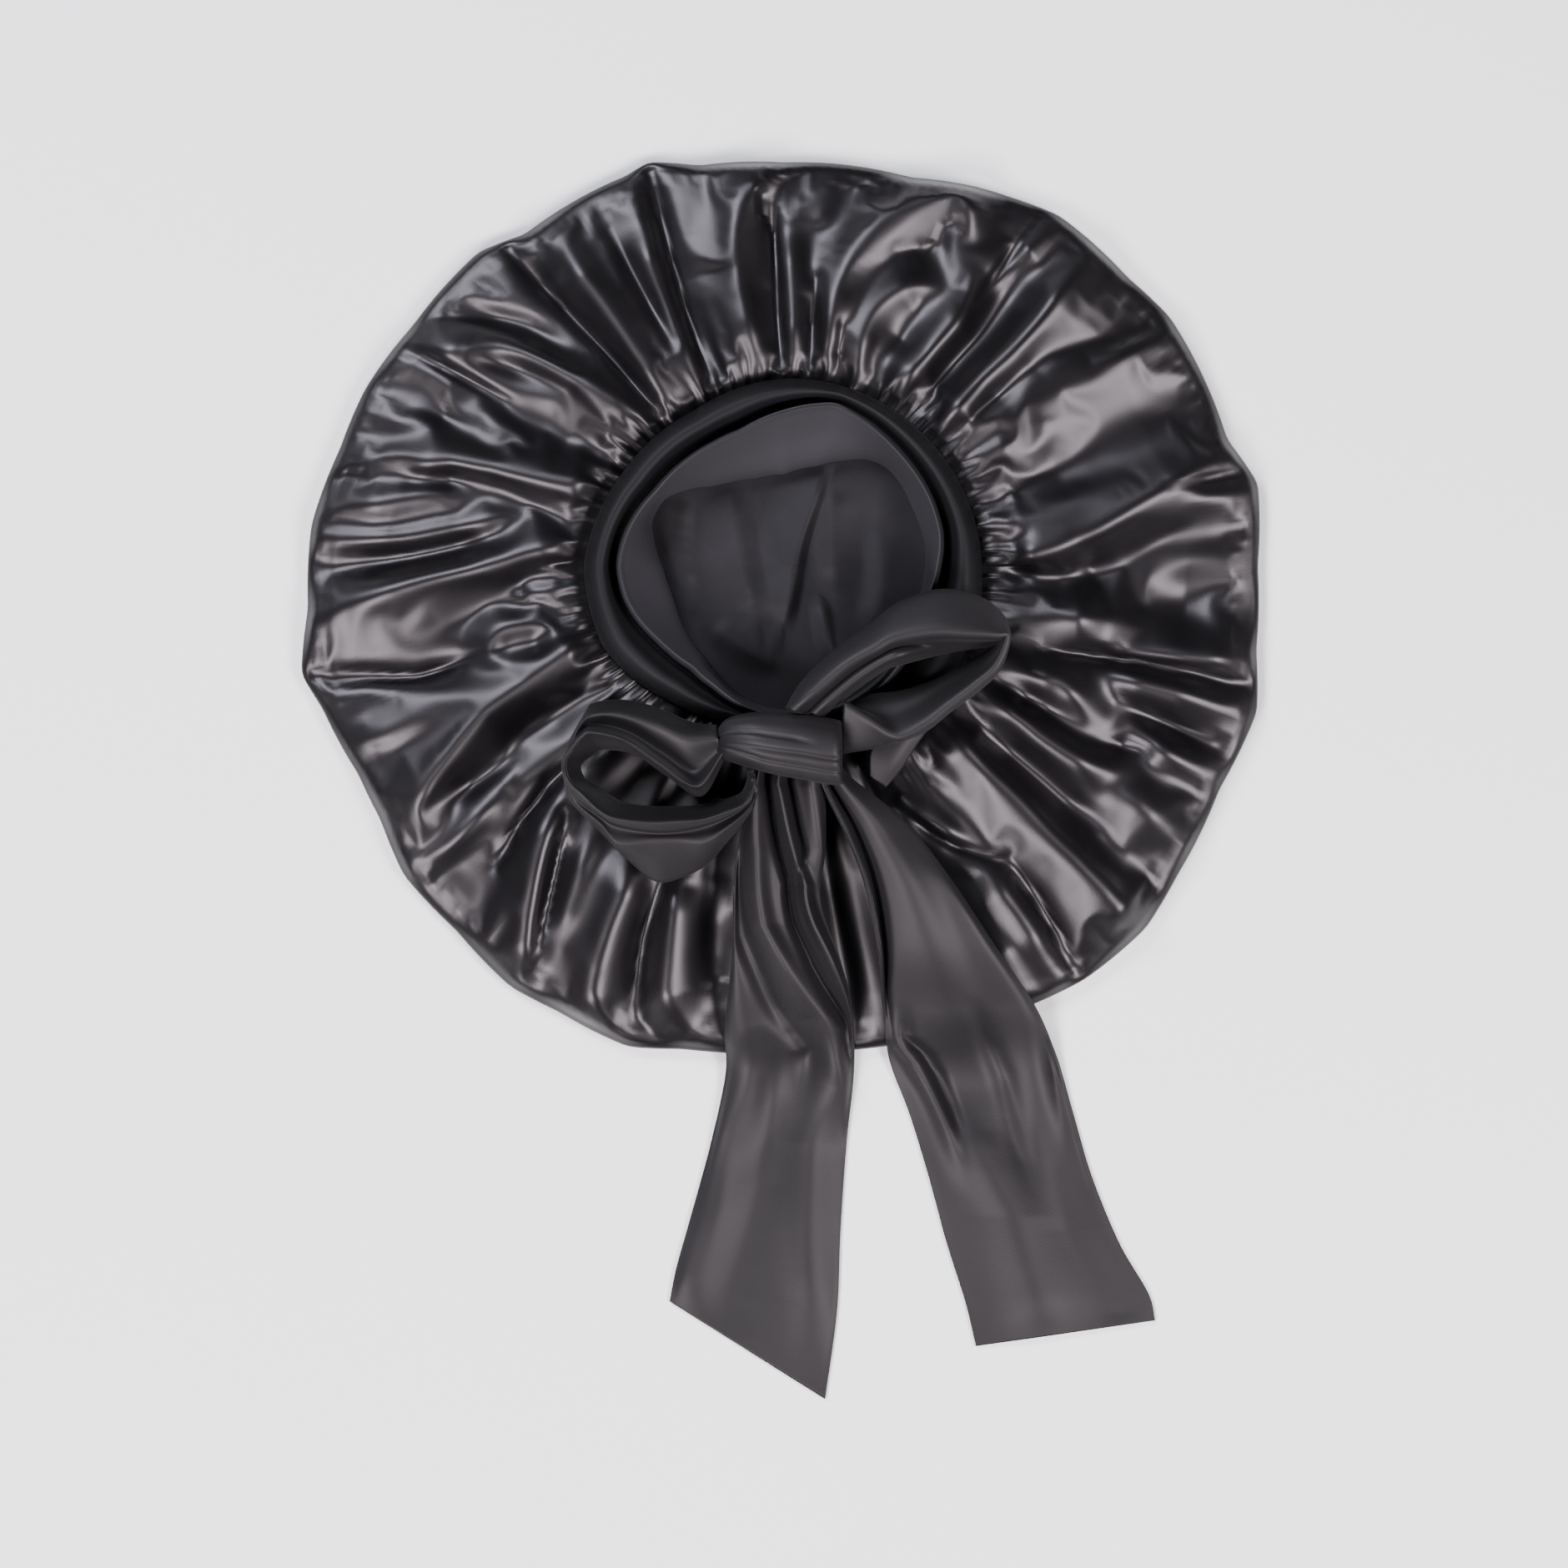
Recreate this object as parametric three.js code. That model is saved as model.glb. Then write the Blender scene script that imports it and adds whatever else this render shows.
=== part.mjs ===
import * as THREE from "three";

// A satin sleep bonnet lying flat with its opening up. Millimetres, +Z up, the surface is Z = 0.
// +Y points from the tie ends towards the far rim. The origin is under the middle of the whole outline.

// Driving sizes
const satinThick = 1.2;
const liningThick = 1.0;
const bandThick = 1.6;
const tieThick = 1.8;
const pieceGap = 0.35;
const ringX = 1.2;
const ringY = 84.8;
const shellColumns = 104;
const liningColumns = 48;
const bandColumns = 52;
const floorTuck = 3.5;
const liningRimGap = 5;
const liningFloor = satinThick + pieceGap;

// Gives every row of a table the names of its columns
function table(names, rows) {
  const keys = names.split(" ");
  return rows.map((row) => Object.fromEntries(keys.map((key, i) => [key, row[i]])));
}

// Rim of the shell: distance from the middle of the opening, by angle in degrees
const rimOutline = table("angle radius", [
  [0, 187.5], [10, 190.5], [16, 182.6], [33, 181.9], [40, 177.9], [52, 176.6], [58, 172], [64, 168],
  [72, 162.1], [90, 160.1], [102, 162.4], [108.5, 169], [112, 167], [128, 167], [134, 173.6],
  [147, 175.3], [157, 180.2], [165, 181.9], [175, 187.9], [185, 189.2], [192.5, 195.8], [197, 191.2],
  [206, 187.5], [212, 188.5], [219, 193.8], [228, 193.8], [237, 198.4], [243, 197.4], [252, 199.8],
  [258, 195.1], [268, 192.5], [278, 193.1], [290, 195.8], [300, 199.4], [306, 202.1], [315, 202.4],
  [322, 197.8], [333, 193.5], [343, 195.8], [350, 189.8],
]);

// Seam between shell and band: distance from the middle of the opening, by angle in degrees
const seamOutline = table("angle radius", [
  [0, 77], [45, 74.4], [90, 72.8], [120, 69.8], [150, 72.4], [180, 78], [205, 77], [228, 69.5],
  [252, 64], [270, 65], [285, 74], [296, 80], [307, 83], [322, 81], [338, 79],
]);

// Upper layer of the shell, from seam to rim: share of the way, height, how strongly folds and
// gathers show there
const puff = table("share height fold gather", [
  [0, 22, 0.2, 1.1], [0.05, 26, 0.45, 1.3], [0.12, 29, 0.8, 0.8], [0.2, 30, 1, 0.3],
  [0.3, 29.5, 1, 0], [0.4, 28, 1, 0], [0.5, 26, 1, 0], [0.61, 23, 0.95, 0], [0.72, 19.5, 0.85, 0],
  [0.82, 15.5, 0.7, 0], [0.9, 11.5, 0.5, 0], [0.96, 8, 0.25, 0], [1, 4.2, 0, 0],
]);

// Upper layer of the lining: how far inside the seam it starts, then the same shares as above
const liningProfile = table("share reach height", [
  [0, -13.5, 14.2], [0, 0, 15.4], [0.15, 0, 18.6], [0.35, 0, 18.4], [0.55, 0, 15.6],
  [0.75, 0, 11.2], [0.9, 0, 7.2], [1, 0, 4],
]);

// Folds: angle of the crest at the seam, half way and at the rim, the stretch that it runs over,
// its half width in degrees and its height, which is negative in a valley
const folds = table("seam middle rim start end width height", [
  [0, 7, 14, 0.1, 0.97, 3.5, 5], [19, 19, 19, 0.2, 0.55, 4.5, -4.5], [30, 29, 28, 0.05, 0.45, 4.5, 4],
  [36, 34, 31, 0.05, 0.95, 2.6, -5], [37, 39, 41, 0.5, 0.95, 2.4, 3.5], [42, 43, 45, 0.03, 0.95, 2.5, 5.5],
  [48, 49, 50, 0.05, 0.85, 3.6, -5.5], [58, 55, 54, 0, 0.85, 2.6, 5], [66, 63, 61, 0.1, 0.75, 4.5, 4.5],
  [77, 78, 72, 0, 0.75, 2.8, 5.5], [82, 83, 84, 0, 0.4, 2.2, -4.5], [87, 88, 89, 0, 0.45, 2.2, 4.5],
  [94, 98, 95, 0, 0.68, 3, 5.5], [103, 103, 103, 0.2, 0.8, 3.5, -3], [112, 110, 108.5, 0.1, 1, 2.2, -5.5],
  [116, 114.5, 113.5, 0, 0.55, 2.6, 4.5], [125, 125, 125, 0, 0.85, 3.6, 5], [129, 130, 131, 0, 0.85, 1.8, -4],
  [134, 138, 149, 0, 0.95, 2.8, 5.5], [142, 144, 153, 0.1, 0.8, 2.8, -4.5], [152, 153, 154, 0.45, 0.88, 3, 3.5],
  [156, 160, 161, 0, 0.45, 2.5, 5], [163, 166, 168, 0.1, 0.75, 2.6, -4.5], [166, 169, 173, 0.35, 0.9, 2.2, 4],
  [173, 181, 186, 0.03, 1, 2.2, 4.5], [172, 176, 180, 0.2, 0.95, 2.2, -4], [188, 189, 190, 0.05, 0.95, 3, -4],
  [192, 198, 201, 0.05, 0.45, 3, 5.5], [196, 195, 192.5, 0.4, 1, 2.6, -4.5], [201, 207, 216, 0.1, 0.98, 3, 6.5],
  [210, 216, 224, 0.08, 0.88, 2.4, -4.5], [218, 227, 237, 0.1, 1, 2.8, 5], [226, 233, 242, 0.3, 0.95, 2.4, -4],
  [240, 245, 250, 0.2, 1, 2.4, 5], [246, 249, 252, 0.2, 0.95, 2, -4.5], [248, 252, 259, 0.2, 0.97, 2.6, 4.5],
  [256, 258, 264, 0.3, 0.9, 3, -4], [294, 298, 303, 0.1, 0.6, 2.2, 4.5], [304, 305, 305, 0.55, 0.98, 2.6, 4.5],
  [308, 309, 309, 0.1, 0.9, 2.6, -4], [314, 316, 314, 0.05, 0.97, 3, 5.5], [321, 320, 320, 0.15, 0.88, 2.8, -5.5],
  [327, 326, 327, 0.1, 0.95, 2.8, 5.5], [331, 331, 332, 0.15, 0.6, 2, -4], [334, 336, 332, 0.15, 0.6, 2, 4.5],
  [338, 337, 337, 0.5, 0.98, 3, -4.5], [344, 343, 343, 0.4, 0.95, 2.6, 3], [350, 350, 349, 0.15, 0.58, 4.5, 4],
  [354, 354, 354, 0.6, 0.95, 4.5, -4.5],
]);
const foldEase = 0.14;
const rimMargin = 2;

// Cross-section of the band: reach outwards from the seam, and height. It rolls over and ends in a lip
const bandSection = table("reach height", [
  [-1.3, 16], [-1.3, 28], [-5.5, 33.5], [-10.5, 28.5], [-13.8, 31.2], [-15.5, 19],
]);
const bandTop = 34.3;
const bandReach = 17;

// Bow loops: the strip's upper edge and foot, section by section, from the knot round and back
const leftLoopRows = table("topX topY topZ footX footY footZ", [
  [-28.4, 5, 50, -28.4, 16, 43], [-38.5, 8, 55, -36, 22, 38], [-51.8, 14, 58, -48.5, 27.3, 37],
  [-65, 19, 59, -63.3, 31.6, 36], [-76.2, 18.7, 59, -74, 27, 35], [-84.5, 10.1, 58, -81.8, 14.5, 34],
  [-84.6, 1.5, 57, -82.8, 0.5, 33], [-79, -8.4, 56, -80, -10.5, 33], [-66.6, -15, 55, -67, -24, 32],
  [-48.5, -16.4, 54, -49.1, -38.5, 32], [-30.3, -15.7, 53, -28.6, -31, 36], [-17.5, -6.5, 52, -16, -12, 42],
]);
const rightLoopRows = table("topX topY topZ footX footY footZ", [
  [12, 29.5, 52, 4.5, 29.5, 44], [29.3, 37.9, 56, 16, 44.1, 40], [42.5, 47.8, 59, 30.9, 59.7, 38],
  [50.8, 57.7, 60, 47.5, 70.9, 37], [67.3, 59.4, 60, 67.3, 73.3, 37], [80.5, 57.7, 59, 82.2, 66, 36],
  [88.5, 53.4, 58, 86.5, 55.7, 36], [84.8, 44.5, 57, 75.6, 45.1, 36], [73.6, 31.6, 56, 60.7, 36.5, 36.5],
  [57.4, 21.3, 54, 45.8, 28.3, 37.5], [42.5, 14.4, 52, 35.9, 23.3, 40], [27, 9.4, 50, 26.6, 19.5, 43],
]);
const loopBelly = 2.2;
const loopSteps = 30;
const loopAcross = 4;

// Tie ends: left and right edge, least height of the underside, crown across, and pleat depth
const leftTailRows = table("leftX leftY rightX rightY height crown pleat", [
  [-8, 12, 9, 11, 34.7, 0.6, 0.4], [-11, -3, 12.5, -2, 34.7, 2, 0.8], [-16.7, -24.3, 12, -27, 30, 4, 2],
  [-18.4, -45.8, 16, -49.1, 28, 4, 2], [-19.7, -71.9, 22.7, -70.6, 24, 4, 1.6],
  [-22.3, -98.1, 28.3, -92.1, 12, 4, 1.2], [-22, -115.3, 28.9, -115.3, 3, 3, 0.8],
  [-27.9, -143.4, 26, -143.4, 0, 2.4, 0.4], [-36.5, -174.8, 23.6, -174.8, 0, 2.4, 0],
  [-44.2, -204, 21.4, -213, 0, 2, 0], [-44.2, -205.4, 20.6, -240, 0, 1.2, 0],
  [-43.2, -206.2, 17.5, -245.3, 0, 0.6, 0],
]);
const rightTailRows = table("leftX leftY rightX rightY height crown pleat", [
  [13.4, 11, 21, 12, 34.7, 0.3, 0], [15.5, -1.5, 25, 3, 34.7, 1, 0.4], [25, -21, 49.1, -16, 30, 3, 0.8],
  [32.6, -40.8, 67.3, -39.2, 27, 4, 0.8], [38.2, -67.3, 83.8, -64, 22, 4, 0.6],
  [40.5, -90.5, 100.4, -88.8, 12, 3.4, 0.6], [42.8, -110.3, 109.6, -110.3, 3, 3, 0.8],
  [50.8, -131.8, 115.9, -131.8, 0, 2.4, 0.4], [58.4, -156.6, 123.2, -156.6, 0, 2.6, 0],
  [65.6, -183.1, 134.1, -183.1, 0, 2.4, 0], [72.9, -206.2, 146.7, -206.2, 0, 1.6, 0],
  [77.2, -224.1, 148.3, -213.8, 0, 0.8, 0],
]);
const tailSteps = 26;
const tailAcross = 6;

// Knot: half width and half height of its section on the way from left to right
const knotRows = table("x y halfWidth halfHeight", [
  [-25.4, 12, 4.5, 4.5], [-21, 14, 9.5, 8], [-10, 14.6, 12.8, 10], [6, 12.8, 14, 10.2],
  [19, 11.2, 13, 9.4], [24.2, 11.3, 10, 7],
]);
const knotFoot = 38.2;
const knotSides = 16;
const knotSquareness = 0.7;

const degree = Math.PI / 180;

// Value of a column between two rows of a table
function valueAt(rows, key, at, column) {
  const above = rows.findIndex((row) => row[key] >= at);
  if (above === 0) return rows[0][column];
  if (above < 0) return rows[rows.length - 1][column];
  const low = rows[above - 1];
  const high = rows[above];
  const part = (at - low[key]) / (high[key] - low[key]);
  return low[column] + part * (high[column] - low[column]);
}

// The same for an outline that closes at 360 degrees
function radiusAt(outline, angle) {
  const closed = [...outline, { angle: 360, radius: outline[0].radius }];
  return valueAt(closed, "angle", ((angle % 360) + 360) % 360, "radius");
}

const turnBetween = (a, b) => ((((a - b) % 360) + 540) % 360) - 180;
const ease = (part) => THREE.MathUtils.smoothstep(part, 0, 1);

// Sum of all folds at one place, at full strength
function foldHeight(share, angle) {
  let height = 0;
  for (const fold of folds) {
    if (share <= fold.start - foldEase || share >= fold.end + foldEase) continue;
    const bend = 2 * (fold.seam - 2 * fold.middle + fold.rim) * share * share;
    const crest = fold.seam + (4 * fold.middle - 3 * fold.seam - fold.rim) * share + bend;
    const off = turnBetween(angle, crest) / fold.width;
    const start = ease((share - fold.start + foldEase) / foldEase);
    const end = ease((fold.end + foldEase - share) / foldEase);
    height += fold.height * Math.exp(-off * off) * start * end;
  }
  return height;
}

function satinTop(share, angle) {
  const fold = valueAt(puff, "share", share, "fold") * foldHeight(share, angle);
  return valueAt(puff, "share", share, "height") + fold;
}

// Highest satin or band under a place in the plan, for what lies on it
function topUnder(x, y) {
  const angle = Math.atan2(y - ringY, x - ringX) / degree;
  const distance = Math.hypot(x - ringX, y - ringY);
  const seam = radiusAt(seamOutline, angle);
  const rim = radiusAt(rimOutline, angle);
  if (distance > rim + rimMargin) return -pieceGap;
  if (distance < seam) return distance > seam - bandReach ? bandTop : 0;
  return satinTop(Math.min(1, (distance - seam) / (rim - seam)), angle);
}

const onRing = (angle, distance, z) => new THREE.Vector3(
  ringX + distance * Math.cos(angle * degree),
  ringY + distance * Math.sin(angle * degree),
  z,
);

// Moves every point of a grid along its own normal
function offsetGrid(grid, distance, closed) {
  const count = grid.length;
  return grid.map((line, i) => line.map((point, j) => {
    const before = closed ? grid[(i + count - 1) % count][j] : grid[Math.max(0, i - 1)][j];
    const after = closed ? grid[(i + 1) % count][j] : grid[Math.min(count - 1, i + 1)][j];
    const along = after.clone().sub(before);
    const across = line[Math.min(line.length - 1, j + 1)].clone().sub(line[Math.max(0, j - 1)]);
    return along.cross(across).normalize().multiplyScalar(distance).add(point);
  }));
}

// Collects triangles and makes one geometry of them
class Skin {
  constructor() {
    this.corners = [];
  }

  triangle(a, b, c) {
    for (const point of [a, b, c]) this.corners.push(point.x, point.y, point.z);
  }

  quad(a, b, c, d) {
    this.triangle(a, b, c);
    this.triangle(a, c, d);
  }

  // Faces whose normal is (along x across) of the grid, or the other way when flipped
  sheet(grid, closed, flipped) {
    const spans = closed ? grid.length : grid.length - 1;
    for (let i = 0; i < spans; i += 1) {
      const one = grid[i];
      const two = grid[(i + 1) % grid.length];
      for (let j = 0; j < one.length - 1; j += 1) {
        if (flipped) this.quad(one[j], one[j + 1], two[j + 1], two[j]);
        else this.quad(one[j], two[j], two[j + 1], one[j + 1]);
      }
    }
  }

  // Narrow strip that joins two rows of points
  strip(one, two, closed) {
    const spans = closed ? one.length : one.length - 1;
    for (let i = 0; i < spans; i += 1) {
      const next = (i + 1) % one.length;
      this.quad(one[i], one[next], two[next], two[i]);
    }
  }

  // Flat polygon, seen from above unless flipped
  plate(points, flipped) {
    const plan = points.map((point) => new THREE.Vector2(point.x, point.y));
    for (const [a, b, c] of THREE.ShapeUtils.triangulateShape(plan, [])) {
      if (flipped) this.triangle(points[a], points[c], points[b]);
      else this.triangle(points[a], points[b], points[c]);
    }
  }

  geometry() {
    const made = new THREE.BufferGeometry();
    made.setAttribute("position", new THREE.Float32BufferAttribute(this.corners, 3));
    made.computeVertexNormals();
    return made;
  }
}

const firstOf = (grid) => grid.map((line) => line[0]);
const lastOf = (grid) => grid.map((line) => line[line.length - 1]);

// A bag: upper layer from the opening to the rim, and a flat layer under it
function bagGeometry(outer, thick, floorZ) {
  const inner = offsetGrid(outer, thick, true);
  inner.forEach((line, i) => {
    const foot = outer[i][line.length - 1];
    const turn = Math.atan2(foot.y - ringY, foot.x - ringX);
    line[line.length - 1].set(foot.x - thick * Math.cos(turn), foot.y - thick * Math.sin(turn), floorZ + thick);
  });
  const skin = new Skin();
  skin.sheet(outer, true, true);
  skin.sheet(inner, true, false);
  skin.strip(firstOf(outer), firstOf(inner), true);
  skin.plate(lastOf(outer), true);
  skin.plate(lastOf(inner), false);
  return skin.geometry();
}

function satinShell() {
  const grid = [];
  for (let i = 0; i < shellColumns; i += 1) {
    const angle = (360 * i) / shellColumns;
    const seam = radiusAt(seamOutline, angle);
    const rim = radiusAt(rimOutline, angle);
    const side = i % 2 === 0 ? 1 : -1;
    const line = puff.map((row) => {
      const z = satinTop(row.share, angle) + side * row.gather;
      return onRing(angle, seam + row.share * (rim - seam), z);
    });
    line.push(onRing(angle, rim - floorTuck, 0));
    grid.push(line);
  }
  return bagGeometry(grid, satinThick, 0);
}

function liningBag() {
  const grid = [];
  for (let i = 0; i < liningColumns; i += 1) {
    const angle = (360 * i) / liningColumns;
    const seam = radiusAt(seamOutline, angle);
    const rim = radiusAt(rimOutline, angle) - liningRimGap;
    const line = liningProfile.map((row) => (
      onRing(angle, seam + row.reach + row.share * (rim - seam), row.height)
    ));
    line.push(onRing(angle, rim - floorTuck, liningFloor));
    grid.push(line);
  }
  return bagGeometry(grid, liningThick, liningFloor);
}

// A wall of even thickness on both sides of a grid of points
function wallGeometry(grid, thick, closed) {
  const left = offsetGrid(grid, thick / 2, closed);
  const right = offsetGrid(grid, -thick / 2, closed);
  const skin = new Skin();
  skin.sheet(left, closed, false);
  skin.sheet(right, closed, true);
  skin.strip(firstOf(right), firstOf(left), closed);
  skin.strip(lastOf(left), lastOf(right), closed);
  if (!closed) {
    skin.strip(left[0], right[0], false);
    skin.strip(right[grid.length - 1], left[grid.length - 1], false);
  }
  return skin.geometry();
}

function headBand() {
  const grid = [];
  for (let i = 0; i < bandColumns; i += 1) {
    const angle = (360 * i) / bandColumns;
    const seam = radiusAt(seamOutline, angle);
    grid.push(bandSection.map((row) => onRing(angle, seam + row.reach, row.height)));
  }
  return wallGeometry(grid, bandThick, true);
}

// Smooth line through one corner of every row
function edgeCurve(rows, names) {
  const points = rows.map((row) => new THREE.Vector3(...names.map((name) => row[name] ?? 0)));
  return new THREE.CatmullRomCurve3(points, false, "centripetal");
}

function bowLoop(rows) {
  const tops = edgeCurve(rows, ["topX", "topY", "topZ"]);
  const feet = edgeCurve(rows, ["footX", "footY", "footZ"]);
  const middle = new THREE.Vector3();
  rows.forEach((row) => middle.add(new THREE.Vector3(row.topX, row.topY, 0)));
  middle.divideScalar(rows.length);
  const grid = [];
  for (let i = 0; i <= loopSteps; i += 1) {
    const top = tops.getPoint(i / loopSteps);
    const foot = feet.getPoint(i / loopSteps);
    foot.z = Math.max(foot.z, topUnder(foot.x, foot.y) + tieThick);
    const outwards = top.clone().sub(middle).setZ(0).normalize();
    const line = [];
    for (let j = 0; j <= loopAcross; j += 1) {
      const belly = loopBelly * Math.sin((Math.PI * j) / loopAcross);
      line.push(top.clone().lerp(foot, j / loopAcross).addScaledVector(outwards, belly));
    }
    grid.push(line);
  }
  return wallGeometry(grid, tieThick, false);
}

function tieEnd(rows) {
  const lefts = edgeCurve(rows, ["leftX", "leftY"]);
  const rights = edgeCurve(rows, ["rightX", "rightY"]);
  const shape = edgeCurve(rows, ["height", "crown", "pleat"]);
  const grid = [];
  for (let i = 0; i <= tailSteps; i += 1) {
    const left = lefts.getPoint(i / tailSteps);
    const right = rights.getPoint(i / tailSteps);
    const { x: height, y: crown, z: pleat } = shape.getPoint(i / tailSteps);
    const points = [];
    for (let j = 0; j <= tailAcross; j += 1) points.push(left.clone().lerp(right, j / tailAcross));
    const under = Math.max(0, height, ...points.map((point) => topUnder(point.x, point.y) + pieceGap));
    grid.push(points.map((point, j) => {
      const part = j / tailAcross;
      const wave = pleat * (1 - Math.cos(4 * Math.PI * part));
      return point.setZ(under + tieThick / 2 + crown * 4 * part * (1 - part) + wave);
    }));
  }
  return wallGeometry(grid, tieThick, false);
}

function bowKnot() {
  const sections = knotRows.map((row) => {
    const line = [];
    for (let k = 0; k < knotSides; k += 1) {
      const turn = (2 * Math.PI * k) / knotSides;
      const squash = (value) => Math.sign(value) * Math.abs(value) ** knotSquareness;
      line.push(new THREE.Vector3(
        row.x,
        row.y + row.halfWidth * squash(Math.cos(turn)),
        knotFoot + row.halfHeight * (1 + squash(Math.sin(turn))),
      ));
    }
    return line;
  });
  const skin = new Skin();
  for (let i = 0; i < sections.length - 1; i += 1) skin.strip(sections[i], sections[i + 1], true);
  const ends = [sections[0], sections[sections.length - 1]];
  ends.forEach((ring, side) => {
    const centre = ring.reduce((sum, point) => sum.add(point), new THREE.Vector3());
    centre.divideScalar(ring.length);
    ring.forEach((point, k) => {
      const next = ring[(k + 1) % ring.length];
      if (side === 0) skin.triangle(centre, next, point);
      else skin.triangle(centre, point, next);
    });
  });
  return skin.geometry();
}

const satin = () => new THREE.MeshStandardMaterial({ color: 0x2c292d, roughness: 0.32, metalness: 0 });
const matt = () => new THREE.MeshStandardMaterial({ color: 0x2b2a2c, roughness: 0.8, metalness: 0 });
const inside = () => new THREE.MeshStandardMaterial({ color: 0x252427, roughness: 0.75, metalness: 0 });

function named(name, geometry, material) {
  const mesh = new THREE.Mesh(geometry, material);
  mesh.name = name;
  return mesh;
}

const bonnet = new THREE.Group();
bonnet.add(named("satin_shell", satinShell(), satin()));
bonnet.add(named("lining", liningBag(), inside()));
bonnet.add(named("head_band", headBand(), matt()));
bonnet.add(named("bow_knot", bowKnot(), matt()));
bonnet.add(named("left_loop", bowLoop(leftLoopRows), matt()));
bonnet.add(named("right_loop", bowLoop(rightLoopRows), matt()));
bonnet.add(named("left_tail", tieEnd(leftTailRows), matt()));
bonnet.add(named("right_tail", tieEnd(rightTailRows), matt()));

export default bonnet;
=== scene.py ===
import math
import bmesh
import bpy
import numpy as np
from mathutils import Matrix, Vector
from mathutils.bvhtree import BVHTree


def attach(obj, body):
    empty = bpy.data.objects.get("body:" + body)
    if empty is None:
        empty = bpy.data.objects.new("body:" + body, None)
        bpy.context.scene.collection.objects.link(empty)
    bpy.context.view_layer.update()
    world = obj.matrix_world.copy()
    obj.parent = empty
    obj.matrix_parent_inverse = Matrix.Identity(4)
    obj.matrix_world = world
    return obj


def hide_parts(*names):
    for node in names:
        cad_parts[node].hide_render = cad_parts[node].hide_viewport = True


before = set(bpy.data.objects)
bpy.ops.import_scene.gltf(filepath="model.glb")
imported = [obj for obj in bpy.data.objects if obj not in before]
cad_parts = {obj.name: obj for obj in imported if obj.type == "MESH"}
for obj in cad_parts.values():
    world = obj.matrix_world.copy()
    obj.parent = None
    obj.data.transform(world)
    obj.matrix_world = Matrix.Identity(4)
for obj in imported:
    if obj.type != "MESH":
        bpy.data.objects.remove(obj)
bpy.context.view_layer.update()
mm = 0.001
ringX, ringY = 1.2, 84.8  # middle of the opening, in millimetres like every table here
farAway = 1e9

# Rim of the bag: angle in degrees, distance from the middle of the opening
rimOutline = [
    (0, 187.5), (10, 190.5), (16, 182.6), (33, 181.9), (40, 177.9), (52, 176.6), (58, 172), (64, 168),
    (72, 162.1), (90, 160.1), (102, 162.4), (108.5, 169), (112, 167), (128, 167), (134, 173.6),
    (147, 175.3), (157, 180.2), (165, 181.9), (175, 187.9), (185, 189.2), (192.5, 195.8), (197, 191.2),
    (206, 187.5), (212, 188.5), (219, 193.8), (228, 193.8), (237, 198.4), (243, 197.4), (252, 199.8),
    (258, 195.1), (268, 192.5), (278, 193.1), (290, 195.8), (300, 199.4), (306, 202.1), (315, 202.4),
    (322, 197.8), (333, 193.5), (343, 195.8), (350, 189.8), (360, 187.5),
]

# Seam between bag and band: angle, distance from the middle of the opening
seamOutline = [
    (0, 77), (45, 74.4), (90, 72.8), (120, 69.8), (150, 72.4), (180, 78), (205, 77), (228, 69.5),
    (252, 64), (270, 65), (285, 74), (296, 80), (307, 83), (322, 81), (338, 79), (360, 77),
]


def column(rows, at, index=1):
    return np.interp(at, [row[0] for row in rows], [row[index] for row in rows])


def outlineAt(rows, angle, blur=1.5):
    steps = [-blur, -blur / 2, 0, blur / 2, blur]  # rounds the outline's corners a little
    return sum(column(rows, np.mod(angle + step, 360)) for step in steps) / len(steps)


def easeIn(value):
    value = np.clip(value, 0, 1)
    return value * value * (3 - 2 * value)


def onPlan(angle, distance):
    turn = np.radians(angle)
    return ringX + distance * np.cos(turn), ringY + distance * np.sin(turn)


def wander(x, y, seed, octaves=3):
    # smooth random waves over the plan, about one unit high
    dice = np.random.default_rng(seed)
    total = np.zeros_like(x)
    for octave in range(octaves):
        for wave in range(6):
            turn, phase = dice.uniform(0, 2 * math.pi, 2)
            pace = dice.uniform(0.6, 1.4) * 2**octave
            total += np.sin(pace * (x * math.cos(turn) + y * math.sin(turn)) + phase) * 0.6**octave
    return total / 4


def smoothLine(points, count):
    # Catmull-Rom curve through a few rows of numbers
    points = np.array(points, float)
    ends = np.concatenate([[2 * points[0] - points[1]], points, [2 * points[-1] - points[-2]]])
    at = np.linspace(0, len(points) - 1, count)
    index = np.minimum(at.astype(int), len(points) - 2)
    t = (at - index).reshape(-1, *[1] * (points.ndim - 1))
    a, b, c, d = (ends[index + shift] for shift in range(4))
    return 0.5 * (2 * b + (c - a) * t + (2 * a - 5 * b + 4 * c - d) * t**2 + (3 * b - a - 3 * c + d) * t**3)


def alongLine(x, y, line):
    # how far each place is from a line on the plan, on which side of it, and its share of the way along
    nearest = np.full(x.shape, farAway)
    side = np.zeros_like(x)
    along = np.zeros_like(x)
    for k in range(len(line) - 1):
        start, step = line[k], line[k + 1] - line[k]
        dx, dy = x - start[0], y - start[1]
        held = np.clip((dx * step[0] + dy * step[1]) / (step @ step), 0, 1)
        gap = np.hypot(dx - held * step[0], dy - held * step[1])
        closer = gap < nearest
        nearest = np.where(closer, gap, nearest)
        side = np.where(closer, dy * step[0] - dx * step[1], side)
        along = np.where(closer, (k + held) / (len(line) - 1), along)
    return nearest, side, along


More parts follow.
